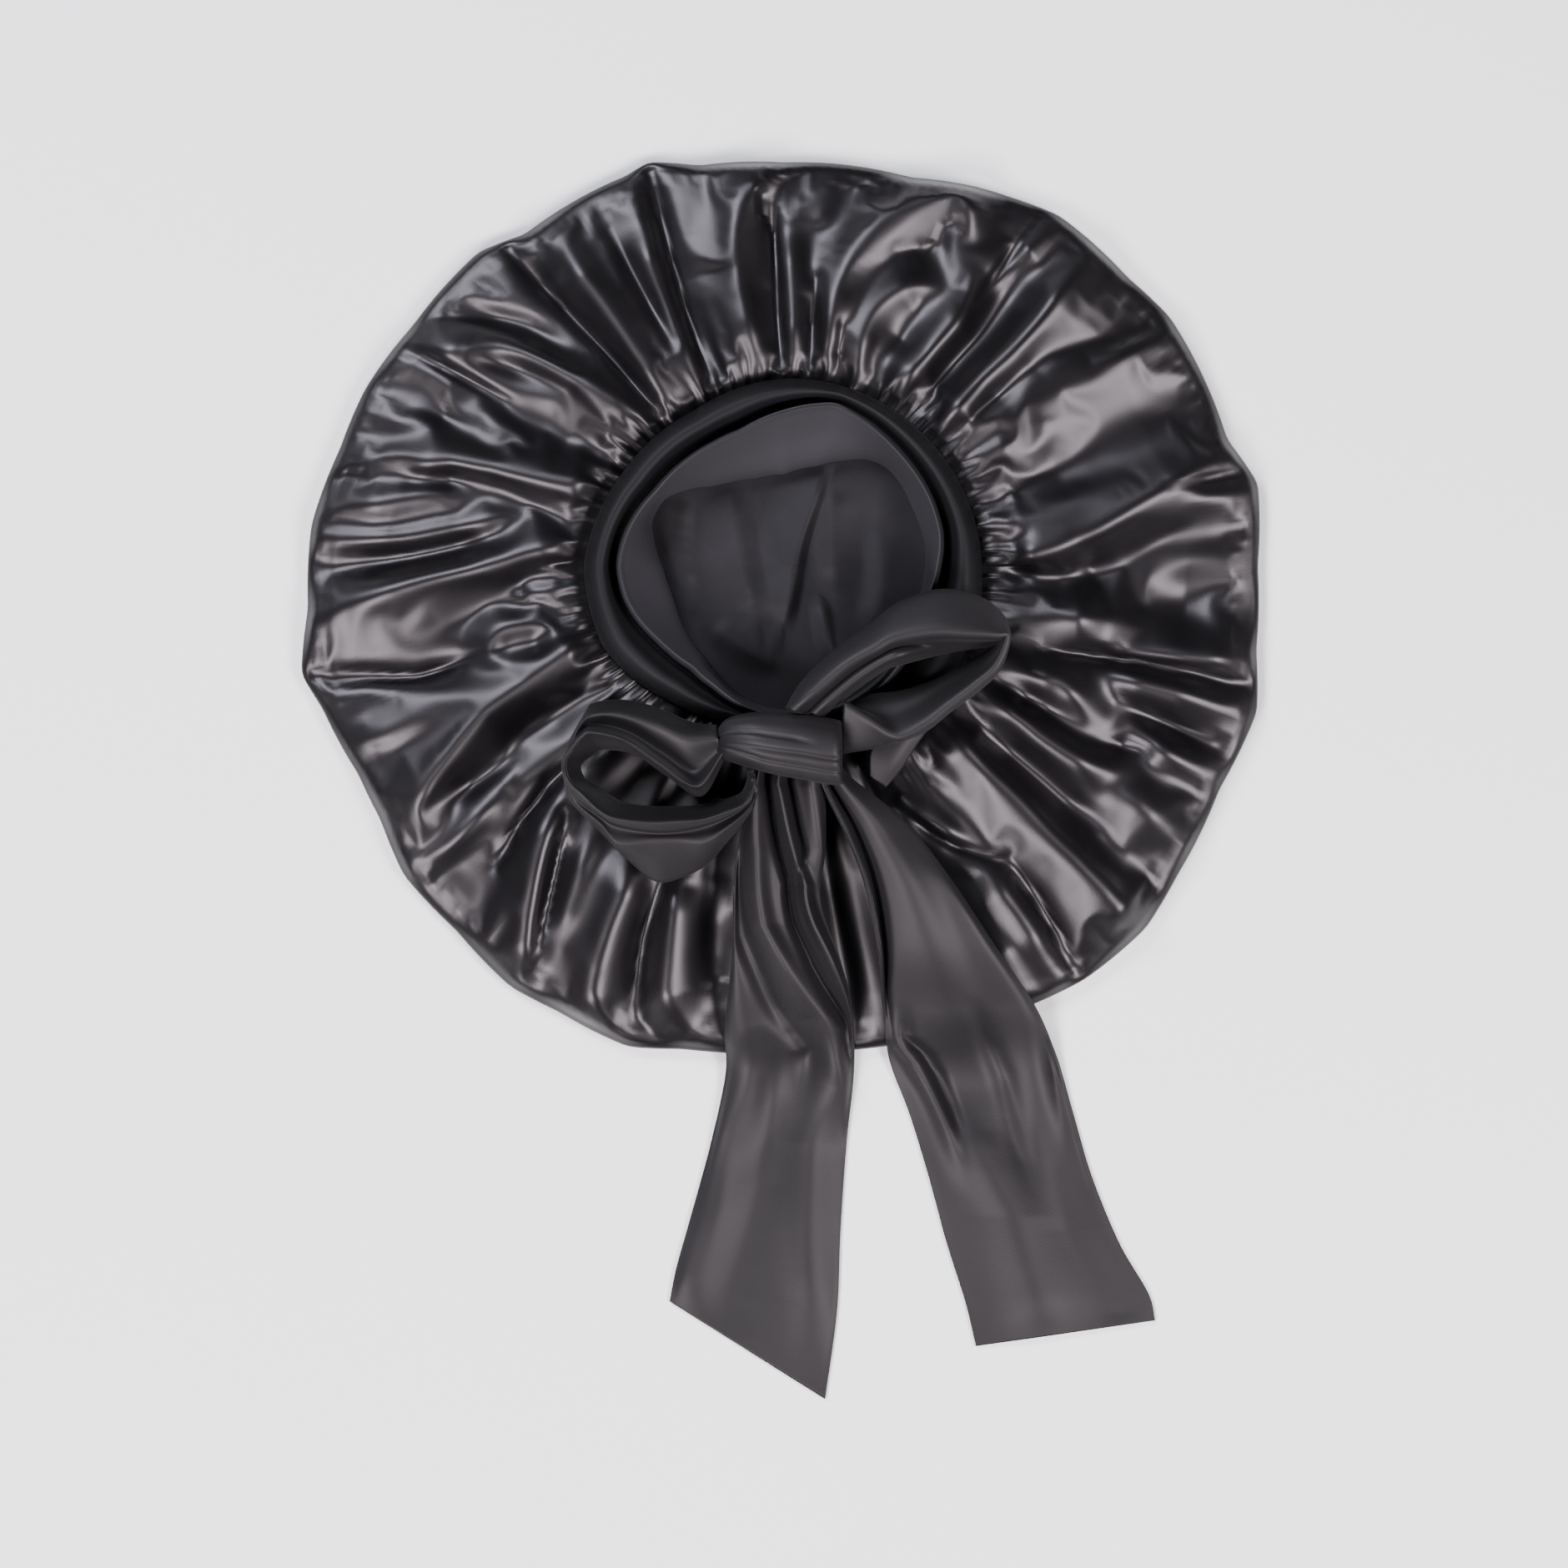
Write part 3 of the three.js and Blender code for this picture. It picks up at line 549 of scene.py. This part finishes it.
# Left loop from the knot and back: outer foot, crest of the roll, groove, rim, inner foot
leftLoopSections = [
    [(-25, 22, 44), (-24.6, 17, 49), (-23.3, 13.1, 47), (-22.7, 10.4, 49), (-22, 8.1, 45)],
    [(-35.2, 23.3, 38), (-36.5, 17, 49), (-34.6, 3.8, 44), (-32.6, -2.1, 53), (-31.3, -6.1, 40)],
    [(-48.5, 28.9, 34), (-49.1, 22.7, 48), (-46.5, 10.4, 44), (-46.5, 6.4, 55), (-45.1, 2.1, 38)],
    [(-61, 31.9, 33), (-61.7, 26, 48), (-59.4, 18.7, 43), (-60, 15.4, 56), (-57.7, 10.4, 38)],
    [(-72.9, 30.9, 33), (-72.9, 26, 46), (-71.9, 22, 42), (-72.3, 18.7, 57), (-69, 12.1, 37)],
    [(-77.2, 26.6, 33), (-78.2, 22.7, 44), (-76.9, 20, 43), (-77.2, 17.4, 57), (-72.9, 10.4, 36)],
    [(-85.5, 10.4, 34), (-85.2, 9.4, 44), (-84.5, 8.8, 52), (-83.5, 8.1, 57), (-78.2, 6.1, 35)],
    [(-85.2, 0.5, 34), (-84.8, 0.2, 44), (-83.8, 0.2, 52), (-82.2, 0.2, 57), (-76.2, 0.5, 35)],
    [(-82.5, -8.4, 33), (-80.9, -8.4, 44), (-79.2, -7.1, 46), (-77.2, -5.1, 56), (-70.9, -2.8, 35)],
    [(-69, -22, 32), (-70.3, -17.7, 44), (-70.9, -13.7, 44), (-70.9, -11.1, 55), (-65.6, -6.1, 35)],
    [(-61, -30.3, 31), (-63.3, -25, 43), (-64.3, -17.7, 43), (-64.3, -14.4, 54), (-61, -8.4, 36)],
    [(-49.1, -39.5, 31), (-50.1, -24.6, 43), (-51.1, -20, 43), (-51.1, -16, 53), (-50.1, -9.8, 36)],
    [(-37.9, -37.5, 31), (-39.2, -24.3, 43), (-40.2, -19.7, 43), (-40.2, -15.7, 53), (-40.2, -9.8, 37)],
    [(-28.6, -32.6, 32), (-29.3, -24.3, 44), (-29.9, -17.7, 43), (-30.3, -15, 53), (-31.3, -9.1, 38)],
    [(-21.3, -24.3, 34), (-21.3, -19, 46), (-21.3, -14.4, 44), (-21.3, -12.1, 53), (-22.7, -7.1, 40)],
    [(-14.4, -16, 38), (-14.1, -12.7, 48), (-14.1, -10.1, 46), (-13.4, -8.4, 52), (-16, -4.5, 43)],
    [(-10.4, -9.4, 42), (-10.4, -7.1, 49), (-10.7, -4.5, 48), (-10.7, -1.8, 51), (-13.4, 0.5, 46)],
    [(-11.1, 0.5, 44), (-11.1, 1.5, 49), (-11.1, 2.1, 48), (-11.4, 3.8, 50), (-13.4, 4.8, 46)],
]

# Right loop: foot, outer edge, rim, groove, second roll, inner foot
rightLoopSections = [
    [(3.6, 27.8, 42), (2.5, 27.9, 46), (4.5, 27.6, 52), (9.7, 26.9, 47), (13.1, 26.4, 50), (16, 26, 46)],
    [(9.7, 37.3, 36), (8.8, 37.9, 46), (11.7, 34.2, 55), (15.9, 32.4, 50), (18.7, 31.3, 53),
     (21, 30.3, 45)],
    [(21.8, 48.8, 36), (21, 49.8, 46), (24.6, 45.5, 57), (27.5, 42.1, 52), (29.4, 39.8, 55),
     (30.9, 37.9, 44)],
    [(36.9, 60, 36), (36.5, 61.3, 46), (35.9, 52.1, 58), (38.1, 48.7, 53), (39.6, 46.4, 56),
     (40.8, 44.5, 43)],
    [(47.2, 67.2, 36), (47.1, 69, 46), (45.1, 57, 58), (46.5, 52.4, 53), (47.4, 49.4, 56),
     (48.1, 46.8, 42)],
    [(62.5, 71.4, 36), (62.7, 73.3, 47), (60.7, 59, 59), (60.7, 55, 49.9), (60.7, 52.3, 45.5),
     (60.7, 50.1, 41)],
    [(76.8, 68.8, 36), (77.2, 70.3, 48), (73.9, 58, 59), (73.2, 55.5, 49.5), (72.7, 53.8, 44.8),
     (72.3, 52.4, 40)],
    [(85.1, 63.5, 36), (85.5, 64.3, 48), (83.8, 57, 58), (82.3, 55.4, 48.5), (81.4, 54.3, 43.8),
     (80.5, 53.4, 39)],
    [(88.2, 56.2, 36), (88.5, 56.4, 48), (88.1, 56.1, 57), (86.9, 54.9, 47.5), (86.2, 54.1, 42.8),
     (85.5, 53.4, 38)],
    [(84.1, 44.4, 36), (84.8, 44.2, 48), (83.8, 45.1, 56), (80.1, 45.9, 46.9), (77.6, 46.4, 42.5),
     (75.6, 46.8, 38)],
    [(76.3, 36.9, 36), (77.2, 36.5, 48), (75.9, 37.9, 55), (71.3, 39.4, 46.4), (68.2, 40.3, 42.2),
     (65.6, 41.2, 38)],
    [(65.8, 29.3, 36), (66.6, 28.6, 48), (65.3, 29.9, 54), (61, 33.2, 45.8), (58.1, 35.4, 42),
     (55.7, 37.2, 38)],
    [(54.9, 21.2, 36), (55.7, 20, 47), (55.1, 22, 53), (50.9, 27.6, 45.7), (48.1, 31.4, 42.5),
     (45.8, 34.6, 39)],
    [(45, 17.7, 36), (45.8, 16.4, 46), (45.1, 17.7, 52), (41, 24.8, 45.6), (38.2, 29.6, 43),
     (35.9, 33.6, 40)],
    [(34.7, 15.4, 36), (35.2, 14.1, 44), (33.6, 24, 51), (31.6, 26.8, 46), (30.3, 28.7, 44.2),
     (29.3, 30.3, 42)],
    [(23.7, 13.8, 42), (23.6, 12.7, 43), (24.6, 29.3, 50), (24.5, 28.1, 46.8), (24.4, 27.3, 46.2),
     (24.3, 26.6, 45)],
]
leftLoop = loft("leftLoop", leftLoopSections, 170, 48)
rightLoop = loft("rightLoop", rightLoopSections, 150, 50)

# Tie ends: left edge, right edge, height over what lies beneath, crown
leftTailRows = [
    (-8, 12, 17, 11, 37.5, 0.6), (-11.5, -3, 17.5, -2, 37.5, 2), (-16.7, -24.3, 17.5, -27, 32, 3),
    (-18.4, -45.8, 15.5, -47, 29, 3), (-19.7, -71.9, 23.5, -70.6, 24, 3),
    (-22.3, -98.1, 28.3, -92.1, 13, 3),
    (-22, -115.3, 28.9, -115.3, 4, 2.4), (-27.9, -143.4, 26, -143.4, 1.6, 1.6),
    (-36.5, -174.8, 23.6, -178, 1.6, 1.5),
    (-41.6, -193, 22.2, -210, 1.5, 1.1), (-44.2, -206.2, 17.5, -245, 1.4, 0.7),
]
rightTailRows = [
    (13, 11, 23, 12, 37.5, 0.3), (15.5, -1.5, 26, 3, 37.5, 1), (25, -21, 49.1, -16, 33, 2.4),
    (32.6, -40.8, 67.3, -39.2, 30, 3), (38.2, -67.3, 83.8, -64, 24, 3),
    (40.5, -90.5, 100.4, -88.8, 13, 2.6),
    (42.8, -110.3, 109.6, -110.3, 4, 2.2), (50.8, -131.8, 115.9, -131.8, 1.6, 1.6),
    (58.4, -156.6, 123.2, -156.6, 1.6, 1.6),
    (65.6, -183.1, 134.1, -183.1, 1.4, 1.6), (72.9, -206.2, 145.6, -203, 1.4, 1.3),
    (77.2, -224, 148.3, -213.8, 1.4, 0.8),
]

# Pleats of the tie ends: points in shares along and across, half width in share, height
leftPleats = [
    ([(0, 0.08), (0.09, 0.1), (0.21, 0.26), (0.34, 0.35), (0.41, 0.5), (0.5, 0.72), (0.62, 0.85)], 0.1,
     4.5),
    ([(0, 0.22), (0.09, 0.26), (0.21, 0.48), (0.27, 0.6), (0.34, 0.62), (0.41, 0.7), (0.52, 0.88)], 0.045,
     -5),
    ([(0, 0.34), (0.09, 0.37), (0.21, 0.62), (0.27, 0.77), (0.34, 0.8), (0.41, 0.86), (0.5, 0.96)], 0.06,
     4.5),
    ([(0, 0.47), (0.09, 0.5), (0.2, 0.7)], 0.035, -4), ([(0, 0.74), (0.1, 0.76), (0.2, 0.88)], 0.12, 3.5),
    ([(0.26, 0.1), (0.36, 0.16), (0.45, 0.36), (0.56, 0.6)], 0.07, -3),
    ([(0.36, 0.06), (0.5, 0.2), (0.64, 0.24)], 0.13, 3),
    ([(0.6, 0.75), (0.7, 0.7), (0.9, 0.78)], 0.11, 2.2),
    ([(0.62, 0.4), (0.75, 0.46), (0.92, 0.4)], 0.1, -1.6),
    ([(0.66, 0.14), (0.78, 0.2), (0.94, 0.16)], 0.1, 1.8),
]
rightPleats = [
    ([(0, 0.25), (0.16, 0.12), (0.3, 0.07), (0.4, 0.02)], 0.06, 3.5),
    ([(0, 0.42), (0.16, 0.27), (0.3, 0.17), (0.42, 0.07)], 0.04, -5),
    ([(0, 0.7), (0.2, 0.5), (0.36, 0.45), (0.5, 0.42)], 0.22, 3.4),
    ([(0.3, 0.86), (0.45, 0.84), (0.6, 0.78)], 0.1, 1.6),
    ([(0.52, 0.15), (0.55, 0.2), (0.6, 0.23), (0.66, 0.25)], 0.05, 2.6),
    ([(0.505, 0.2), (0.535, 0.27), (0.57, 0.3), (0.62, 0.31)], 0.035, -3),
    ([(0.5, 0.6), (0.57, 0.62), (0.68, 0.6)], 0.06, -2.6),
    ([(0.54, 0.9), (0.6, 0.88), (0.68, 0.86)], 0.06, -2.2),
    ([(0.66, 0.35), (0.78, 0.45), (0.94, 0.4)], 0.13, 2.4),
    ([(0.7, 0.78), (0.8, 0.72), (0.92, 0.74)], 0.1, -1.7),
]


def tailSections(rows):
    sections = []
    for leftX, leftY, rightX, rightY, height, crown in rows:
        section = []
        for part in (0, 0.06, 0.2, 0.35, 0.5, 0.65, 0.8, 0.94, 1):
            rise = crown * (1 - (2 * part - 1) ** 4)
            section.append((leftX + part * (rightX - leftX), leftY + part * (rightY - leftY), height + rise))
        sections.append(section)
    return sections


def pleated(pleats):
    # adds the pleats, then lifts the strip off whatever lies beneath it, without steps
    def adjust(grid):
        along = np.linspace(0, 1, grid.shape[0])[:, None] * np.ones(grid.shape[1])
        across = np.linspace(0, 1, grid.shape[1])[None, :] * np.ones((grid.shape[0], 1))
        for line, width, height in pleats:
            middle = np.interp(along, [spot[0] for spot in line], [spot[1] for spot in line])
            ends = easeIn((along - line[0][0] + 0.07) / 0.1) * easeIn((line[-1][0] + 0.1 - along) / 0.14)
            grid[..., 2] += tie["pleat"] * height * ends * np.exp(-(((across - middle) / width) ** 2))
        under = heightUnder(grid[..., 0], grid[..., 1]) + tie["clear"]
        for turn in range(tie["bridge"]):
            under[1:-1] = np.maximum(under[1:-1], (under[2:] + under[:-2]) / 2)
        lift = np.clip(under - grid[..., 2], 0, None)
        for turn in range(tie["spread"]):
            lift[1:-1, 1:-1] = np.maximum(
                (lift[:-2, 1:-1] + lift[2:, 1:-1] + lift[1:-1, :-2] + lift[1:-1, 2:]) / 4,
                np.clip(under - grid[..., 2], 0, None)[1:-1, 1:-1],
            )
        grid[..., 2] += lift
        return grid

    return adjust


leftTail = loft("leftTail", tailSections(leftTailRows), 260, 70, pleated(leftPleats))
rightTail = loft("rightTail", tailSections(rightTailRows), 260, 70, pleated(rightPleats))

knot = {"waist": 44, "belly": 5}  # height of its widest place, and how far it reaches below that

# Knot from left to right: upper edge, lower edge, height of the crown
knotRows = [
    (-26.5, 16, 12, 44), (-25.2, 19.5, 10.5, 47), (-21, 24.5, 8, 52), (-12, 26.8, 5, 56.5),
    (-2, 27, 2.4, 58),
    (8, 26.4, 0.6, 58.3), (17, 25, -1.2, 58), (22, 24, -1.6, 57), (23.6, 23.4, -1.4, 53),
    (24, 22.6, -0.6, 46),
]

# Creases of the knot: (along, across) points, half width in share, depth
knotCreases = [
    ([(0, 0.42), (0.3, 0.35), (0.62, 0.42)], 0.035, 1.6), ([(0, 0.55), (0.4, 0.62), (1, 0.6)], 0.03, 1.3),
    ([(0, 0.6), (0.4, 0.8), (1, 0.8)], 0.03, 1.3), ([(0.2, 0.12), (0.6, 0.14), (1, 0.16)], 0.08, 0.5),
]


def knotSections():
    sections = []
    for x, top, foot, crown in knotRows:
        middle, half = (top + foot) / 2, (top - foot) / 2
        section = []
        for turn in np.linspace(-60, 240, 17):
            across = math.cos(math.radians(turn))
            rise = math.sin(math.radians(turn))
            flat = abs(rise) ** 0.7 * math.copysign(1, rise)
            height = crown - knot["waist"] if rise > 0 else knot["belly"]
            section.append((x, middle + half * across, knot["waist"] + height * flat))
        sections.append(section[::-1])
    return sections


def knotPleats(grid):
    along = np.linspace(0, 1, grid.shape[0])[:, None] * np.ones(grid.shape[1])
    foot = grid[..., 1].min(axis=1, keepdims=True)
    top = grid[..., 1].max(axis=1, keepdims=True)
    across = (top - grid[..., 1]) / (top - foot)
    for line, width, depth in knotCreases:
        middle = np.interp(along, [spot[0] for spot in line], [spot[1] for spot in line])
        ends = easeIn((line[-1][0] + 0.02 - along) / 0.12)
        shown = easeIn((grid[..., 2] - knot["waist"]) / 4)
        grid[..., 2] -= depth * ends * shown * np.exp(-np.abs((across - middle) / width) ** 1.2)
    return grid


bowKnot = loft("bowKnot", knotSections(), 110, 90, knotPleats)
for strip in (leftLoop, rightLoop, leftTail, rightTail, bowKnot):
    addThickness(strip, tie["thick"])

print("materials")
weave = {
    "depth": 0.0002, "roughSpread": 0.04, "sheenRough": 0.5, "evenFrom": 0.3, "evenTo": 0.7, "seamBlend": 0.002,
}


def clothGroup():
    # fine threads, grain and slow unevenness of a cloth, from its flat coordinates in metres
    group = bpy.data.node_groups.new("clothThreads", "ShaderNodeTree")
    face = group.interface
    face.new_socket("Flat", in_out="INPUT", socket_type="NodeSocketVector")
    face.new_socket("Threads", in_out="INPUT", socket_type="NodeSocketFloat")
    face.new_socket("Blotches", in_out="INPUT", socket_type="NodeSocketFloat")
    face.new_socket("Weave", in_out="OUTPUT", socket_type="NodeSocketFloat")
    face.new_socket("Uneven", in_out="OUTPUT", socket_type="NodeSocketFloat")
    nodes, links = group.nodes, group.links
    inlet = nodes.new("NodeGroupInput")
    outlet = nodes.new("NodeGroupOutput")
    grain = nodes.new("ShaderNodeTexNoise")
    grain.inputs["Detail"].default_value = 3
    links.new(inlet.outputs["Flat"], grain.inputs["Vector"])
    links.new(inlet.outputs["Threads"], grain.inputs["Scale"])
    noise = nodes.new("ShaderNodeTexNoise")
    noise.inputs["Detail"].default_value = 4
    links.new(inlet.outputs["Flat"], noise.inputs["Vector"])
    links.new(inlet.outputs["Blotches"], noise.inputs["Scale"])
    links.new(grain.outputs["Fac"], outlet.inputs["Weave"])
    links.new(noise.outputs["Fac"], outlet.inputs["Uneven"])
    return group


threads = clothGroup()


def clothMaterial(name, look):
    material = bpy.data.materials.new(name)
    material.use_nodes = True
    nodes, links = material.node_tree.nodes, material.node_tree.links
    shader = nodes["Principled BSDF"]
    coords = nodes.new("ShaderNodeTexCoord")
    cloth = nodes.new("ShaderNodeGroup")
    cloth.node_tree = threads
    cloth.inputs["Threads"].default_value = look["threads"]
    cloth.inputs["Blotches"].default_value = look["blotches"]
    links.new(coords.outputs["UV"], cloth.inputs["Flat"])
    ramp = nodes.new("ShaderNodeValToRGB")
    ramp.color_ramp.elements[0].position = weave["evenFrom"]
    ramp.color_ramp.elements[1].position = weave["evenTo"]
    ramp.color_ramp.elements[0].color = (*look["dark"], 1)
    ramp.color_ramp.elements[1].color = (*look["light"], 1)
    links.new(cloth.outputs["Uneven"], ramp.inputs["Fac"])
    color = ramp.outputs["Color"]
    if look.get("paintedLitFacing"):  # painted light: a paler colour past a given place across the flat strip, standing in for the light the band's inner facing catches
        split = nodes.new("ShaderNodeSeparateXYZ")
        links.new(coords.outputs["UV"], split.inputs["Vector"])
        share = nodes.new("ShaderNodeMapRange")
        share.inputs["From Min"].default_value = look["facingFrom"]
        share.inputs["From Max"].default_value = look["facingFrom"] + weave["seamBlend"]
        links.new(split.outputs["X"], share.inputs["Value"])
        paintedLightMix = nodes.new("ShaderNodeMix")
        paintedLightMix.data_type = "RGBA"
        factor, first, second = [socket for socket in paintedLightMix.inputs if socket.enabled]
        second.default_value = (*look["paintedLitFacing"], 1)
        links.new(share.outputs["Result"], factor)
        links.new(color, first)
        color = [socket for socket in paintedLightMix.outputs if socket.enabled][0]
    links.new(color, shader.inputs["Base Color"])
    rough = nodes.new("ShaderNodeMapRange")
    rough.inputs["To Min"].default_value = look["rough"] - weave["roughSpread"]
    rough.inputs["To Max"].default_value = look["rough"] + weave["roughSpread"]
    links.new(cloth.outputs["Uneven"], rough.inputs["Value"])
    links.new(rough.outputs["Result"], shader.inputs["Roughness"])
    bump = nodes.new("ShaderNodeBump")
    bump.inputs["Strength"].default_value = look["bump"]
    bump.inputs["Distance"].default_value = weave["depth"]
    links.new(cloth.outputs["Weave"], bump.inputs["Height"])
    links.new(bump.outputs["Normal"], shader.inputs["Normal"])
    shader.inputs["Specular IOR Level"].default_value = look["specular"]
    shader.inputs["Specular Tint"].default_value = (*look["tint"], 1)
    shader.inputs["Sheen Weight"].default_value = look["sheen"]
    shader.inputs["Sheen Roughness"].default_value = weave["sheenRough"]
    if look.get("grain"):
        shader.inputs["Anisotropic"].default_value = look["grain"]
        tangent = nodes.new("ShaderNodeTangent")
        tangent.direction_type = "UV_MAP"
        tangent.uv_map = "UVMap"
        links.new(tangent.outputs["Tangent"], shader.inputs["Tangent"])
    return material


satin = clothMaterial("blackSatin", {
    "dark": (0.0025, 0.0022, 0.0028), "light": (0.0045, 0.004, 0.0048), "rough": 0.38, "specular": 0.43,
    "tint": (1.0, 0.93, 0.97), "sheen": 0.0, "threads": 1600, "blotches": 30, "bump": 0.14, "grain": 0.35,
})
tieCloth = clothMaterial("tieCloth", {
    "dark": (0.0045, 0.004, 0.0046), "light": (0.008, 0.0072, 0.0082), "rough": 0.54, "specular": 0.31,
    "tint": (1.0, 0.94, 0.98), "sheen": 0.02, "threads": 1400, "blotches": 22, "bump": 0.2, "grain": 0.2,
})
bandCloth = clothMaterial("bandCloth", {
    "dark": (0.0022, 0.002, 0.0025), "light": (0.004, 0.0037, 0.0045), "rough": 0.6, "specular": 0.21,
    "tint": (0.97, 0.94, 1.0), "sheen": 0.01, "threads": 1200, "blotches": 14, "bump": 0.2,
    # the facing colour is painted light: the inner facing is the same dark cloth, painted paler for the light
    # it catches
    "paintedLitFacing": (0.025, 0.0235, 0.027), "facingFrom": band["facingFrom"],
})
liningCloth = clothMaterial("liningCloth", {
    "dark": (0.0035, 0.0032, 0.004), "light": (0.011, 0.0102, 0.0118), "rough": 0.6, "specular": 0.21,
    "tint": (0.98, 0.93, 1.0), "sheen": 0.02, "threads": 1200, "blotches": 16, "bump": 0.2,
})

# Every piece: node of the part, slot, material, flat cut in metres, how it is held, what it rests on
pieces = [
    (satinBag, "satin_shell", "satin", satin, (0.6, 0.6), "gathered", []),
    (liningBag, "lining", "lining", liningCloth, (0.56, 0.56), "gathered", ["satinBag"]),
    (headBand, "head_band", "tie_cloth", bandCloth, (0.08, 0.42), "folded", ["satinBag"]),
    (bandEnd, "head_band", "tie_cloth", tieCloth, (0.012, 0.034), "folded", ["satinBag"]),
    (bowKnot, "bow_knot", "tie_cloth", tieCloth, (0.055, 0.06), "folded", ["headBand"]),
    (leftLoop, "left_loop", "tie_cloth", tieCloth, (0.055, 0.185), "folded", ["satinBag"]),
    (rightLoop, "right_loop", "tie_cloth", tieCloth, (0.05, 0.18), "folded", ["satinBag"]),
    (leftTail, "left_tail", "tie_cloth", tieCloth, (0.07, 0.26), "draped", ["satinBag", "floor"]),
    (rightTail, "right_tail", "tie_cloth", tieCloth, (0.07, 0.265), "draped", ["satinBag", "floor"]),
]
for piece, node, slot, material, cut, held, restsOn in pieces:
    piece.data.materials.append(material)
    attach(piece, "root")
    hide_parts(node)

print("floor, light and camera")
studio = {
    "floorColor": (0.95, 0.95, 0.955),
    "sky": (0.86, 0.9, 1.0),
    "skyStrength": 0.03,
    "viewHeight": 3.0,
    "viewWidth": 0.6218,
    "aim": (0.00116, -0.00116),
    "floorHalf": 3,
}

# Soft boxes: direction around the bonnet, height angle, distance, size, power, colour
softBoxes = [
    (232, 48, 1.7, 0.66, 44, (1.0, 0.96, 0.985)), (130, 46, 1.7, 0.66, 36, (0.88, 0.91, 1.0)),
    (335, 48, 1.7, 0.66, 44, (1.0, 0.96, 0.985)),
]


def paperFloor():
    bm = bmesh.new()
    bmesh.ops.create_grid(bm, x_segments=1, y_segments=1, size=studio["floorHalf"])
    mesh = bpy.data.meshes.new("floor")
    bm.to_mesh(mesh)
    bm.free()
    floor = bpy.data.objects.new("floor", mesh)
    bpy.context.collection.objects.link(floor)
    paint = bpy.data.materials.new("floorPaper")
    paint.use_nodes = True
    shader = paint.node_tree.nodes["Principled BSDF"]
    shader.inputs["Base Color"].default_value = (*studio["floorColor"], 1)
    shader.inputs["Roughness"].default_value = 0.9
    mesh.materials.append(paint)


def softBox(index, turn, lift, distance, size, power, color):
    light = bpy.data.lights.new(f"softBox{index}", "AREA")
    light.shape = "SQUARE"
    light.size = size
    light.energy = power
    light.color = color
    lamp = bpy.data.objects.new(f"softBox{index}", light)
    bpy.context.collection.objects.link(lamp)
    turn, lift = math.radians(turn), math.radians(lift)
    toward = Vector((math.cos(turn) * math.cos(lift), math.sin(turn) * math.cos(lift), math.sin(lift)))
    spot = toward * distance
    lamp.location = spot
    lamp.rotation_euler = (-spot).to_track_quat("-Z", "Y").to_euler()


paperFloor()
for index, box in enumerate(softBoxes):
    softBox(index, *box)
world = bpy.data.worlds.new("studio")
world.use_nodes = True
world.node_tree.nodes["Background"].inputs["Color"].default_value = (*studio["sky"], 1)
world.node_tree.nodes["Background"].inputs["Strength"].default_value = studio["skyStrength"]
bpy.context.scene.world = world
lens = bpy.data.cameras.new("camera")
lens.sensor_width = 36
lens.lens = 36 * studio["viewHeight"] / studio["viewWidth"]
lens.clip_end = 20
camera = bpy.data.objects.new("camera", lens)
camera.location = (*studio["aim"], studio["viewHeight"])
bpy.context.collection.objects.link(camera)
bpy.context.scene.camera = camera
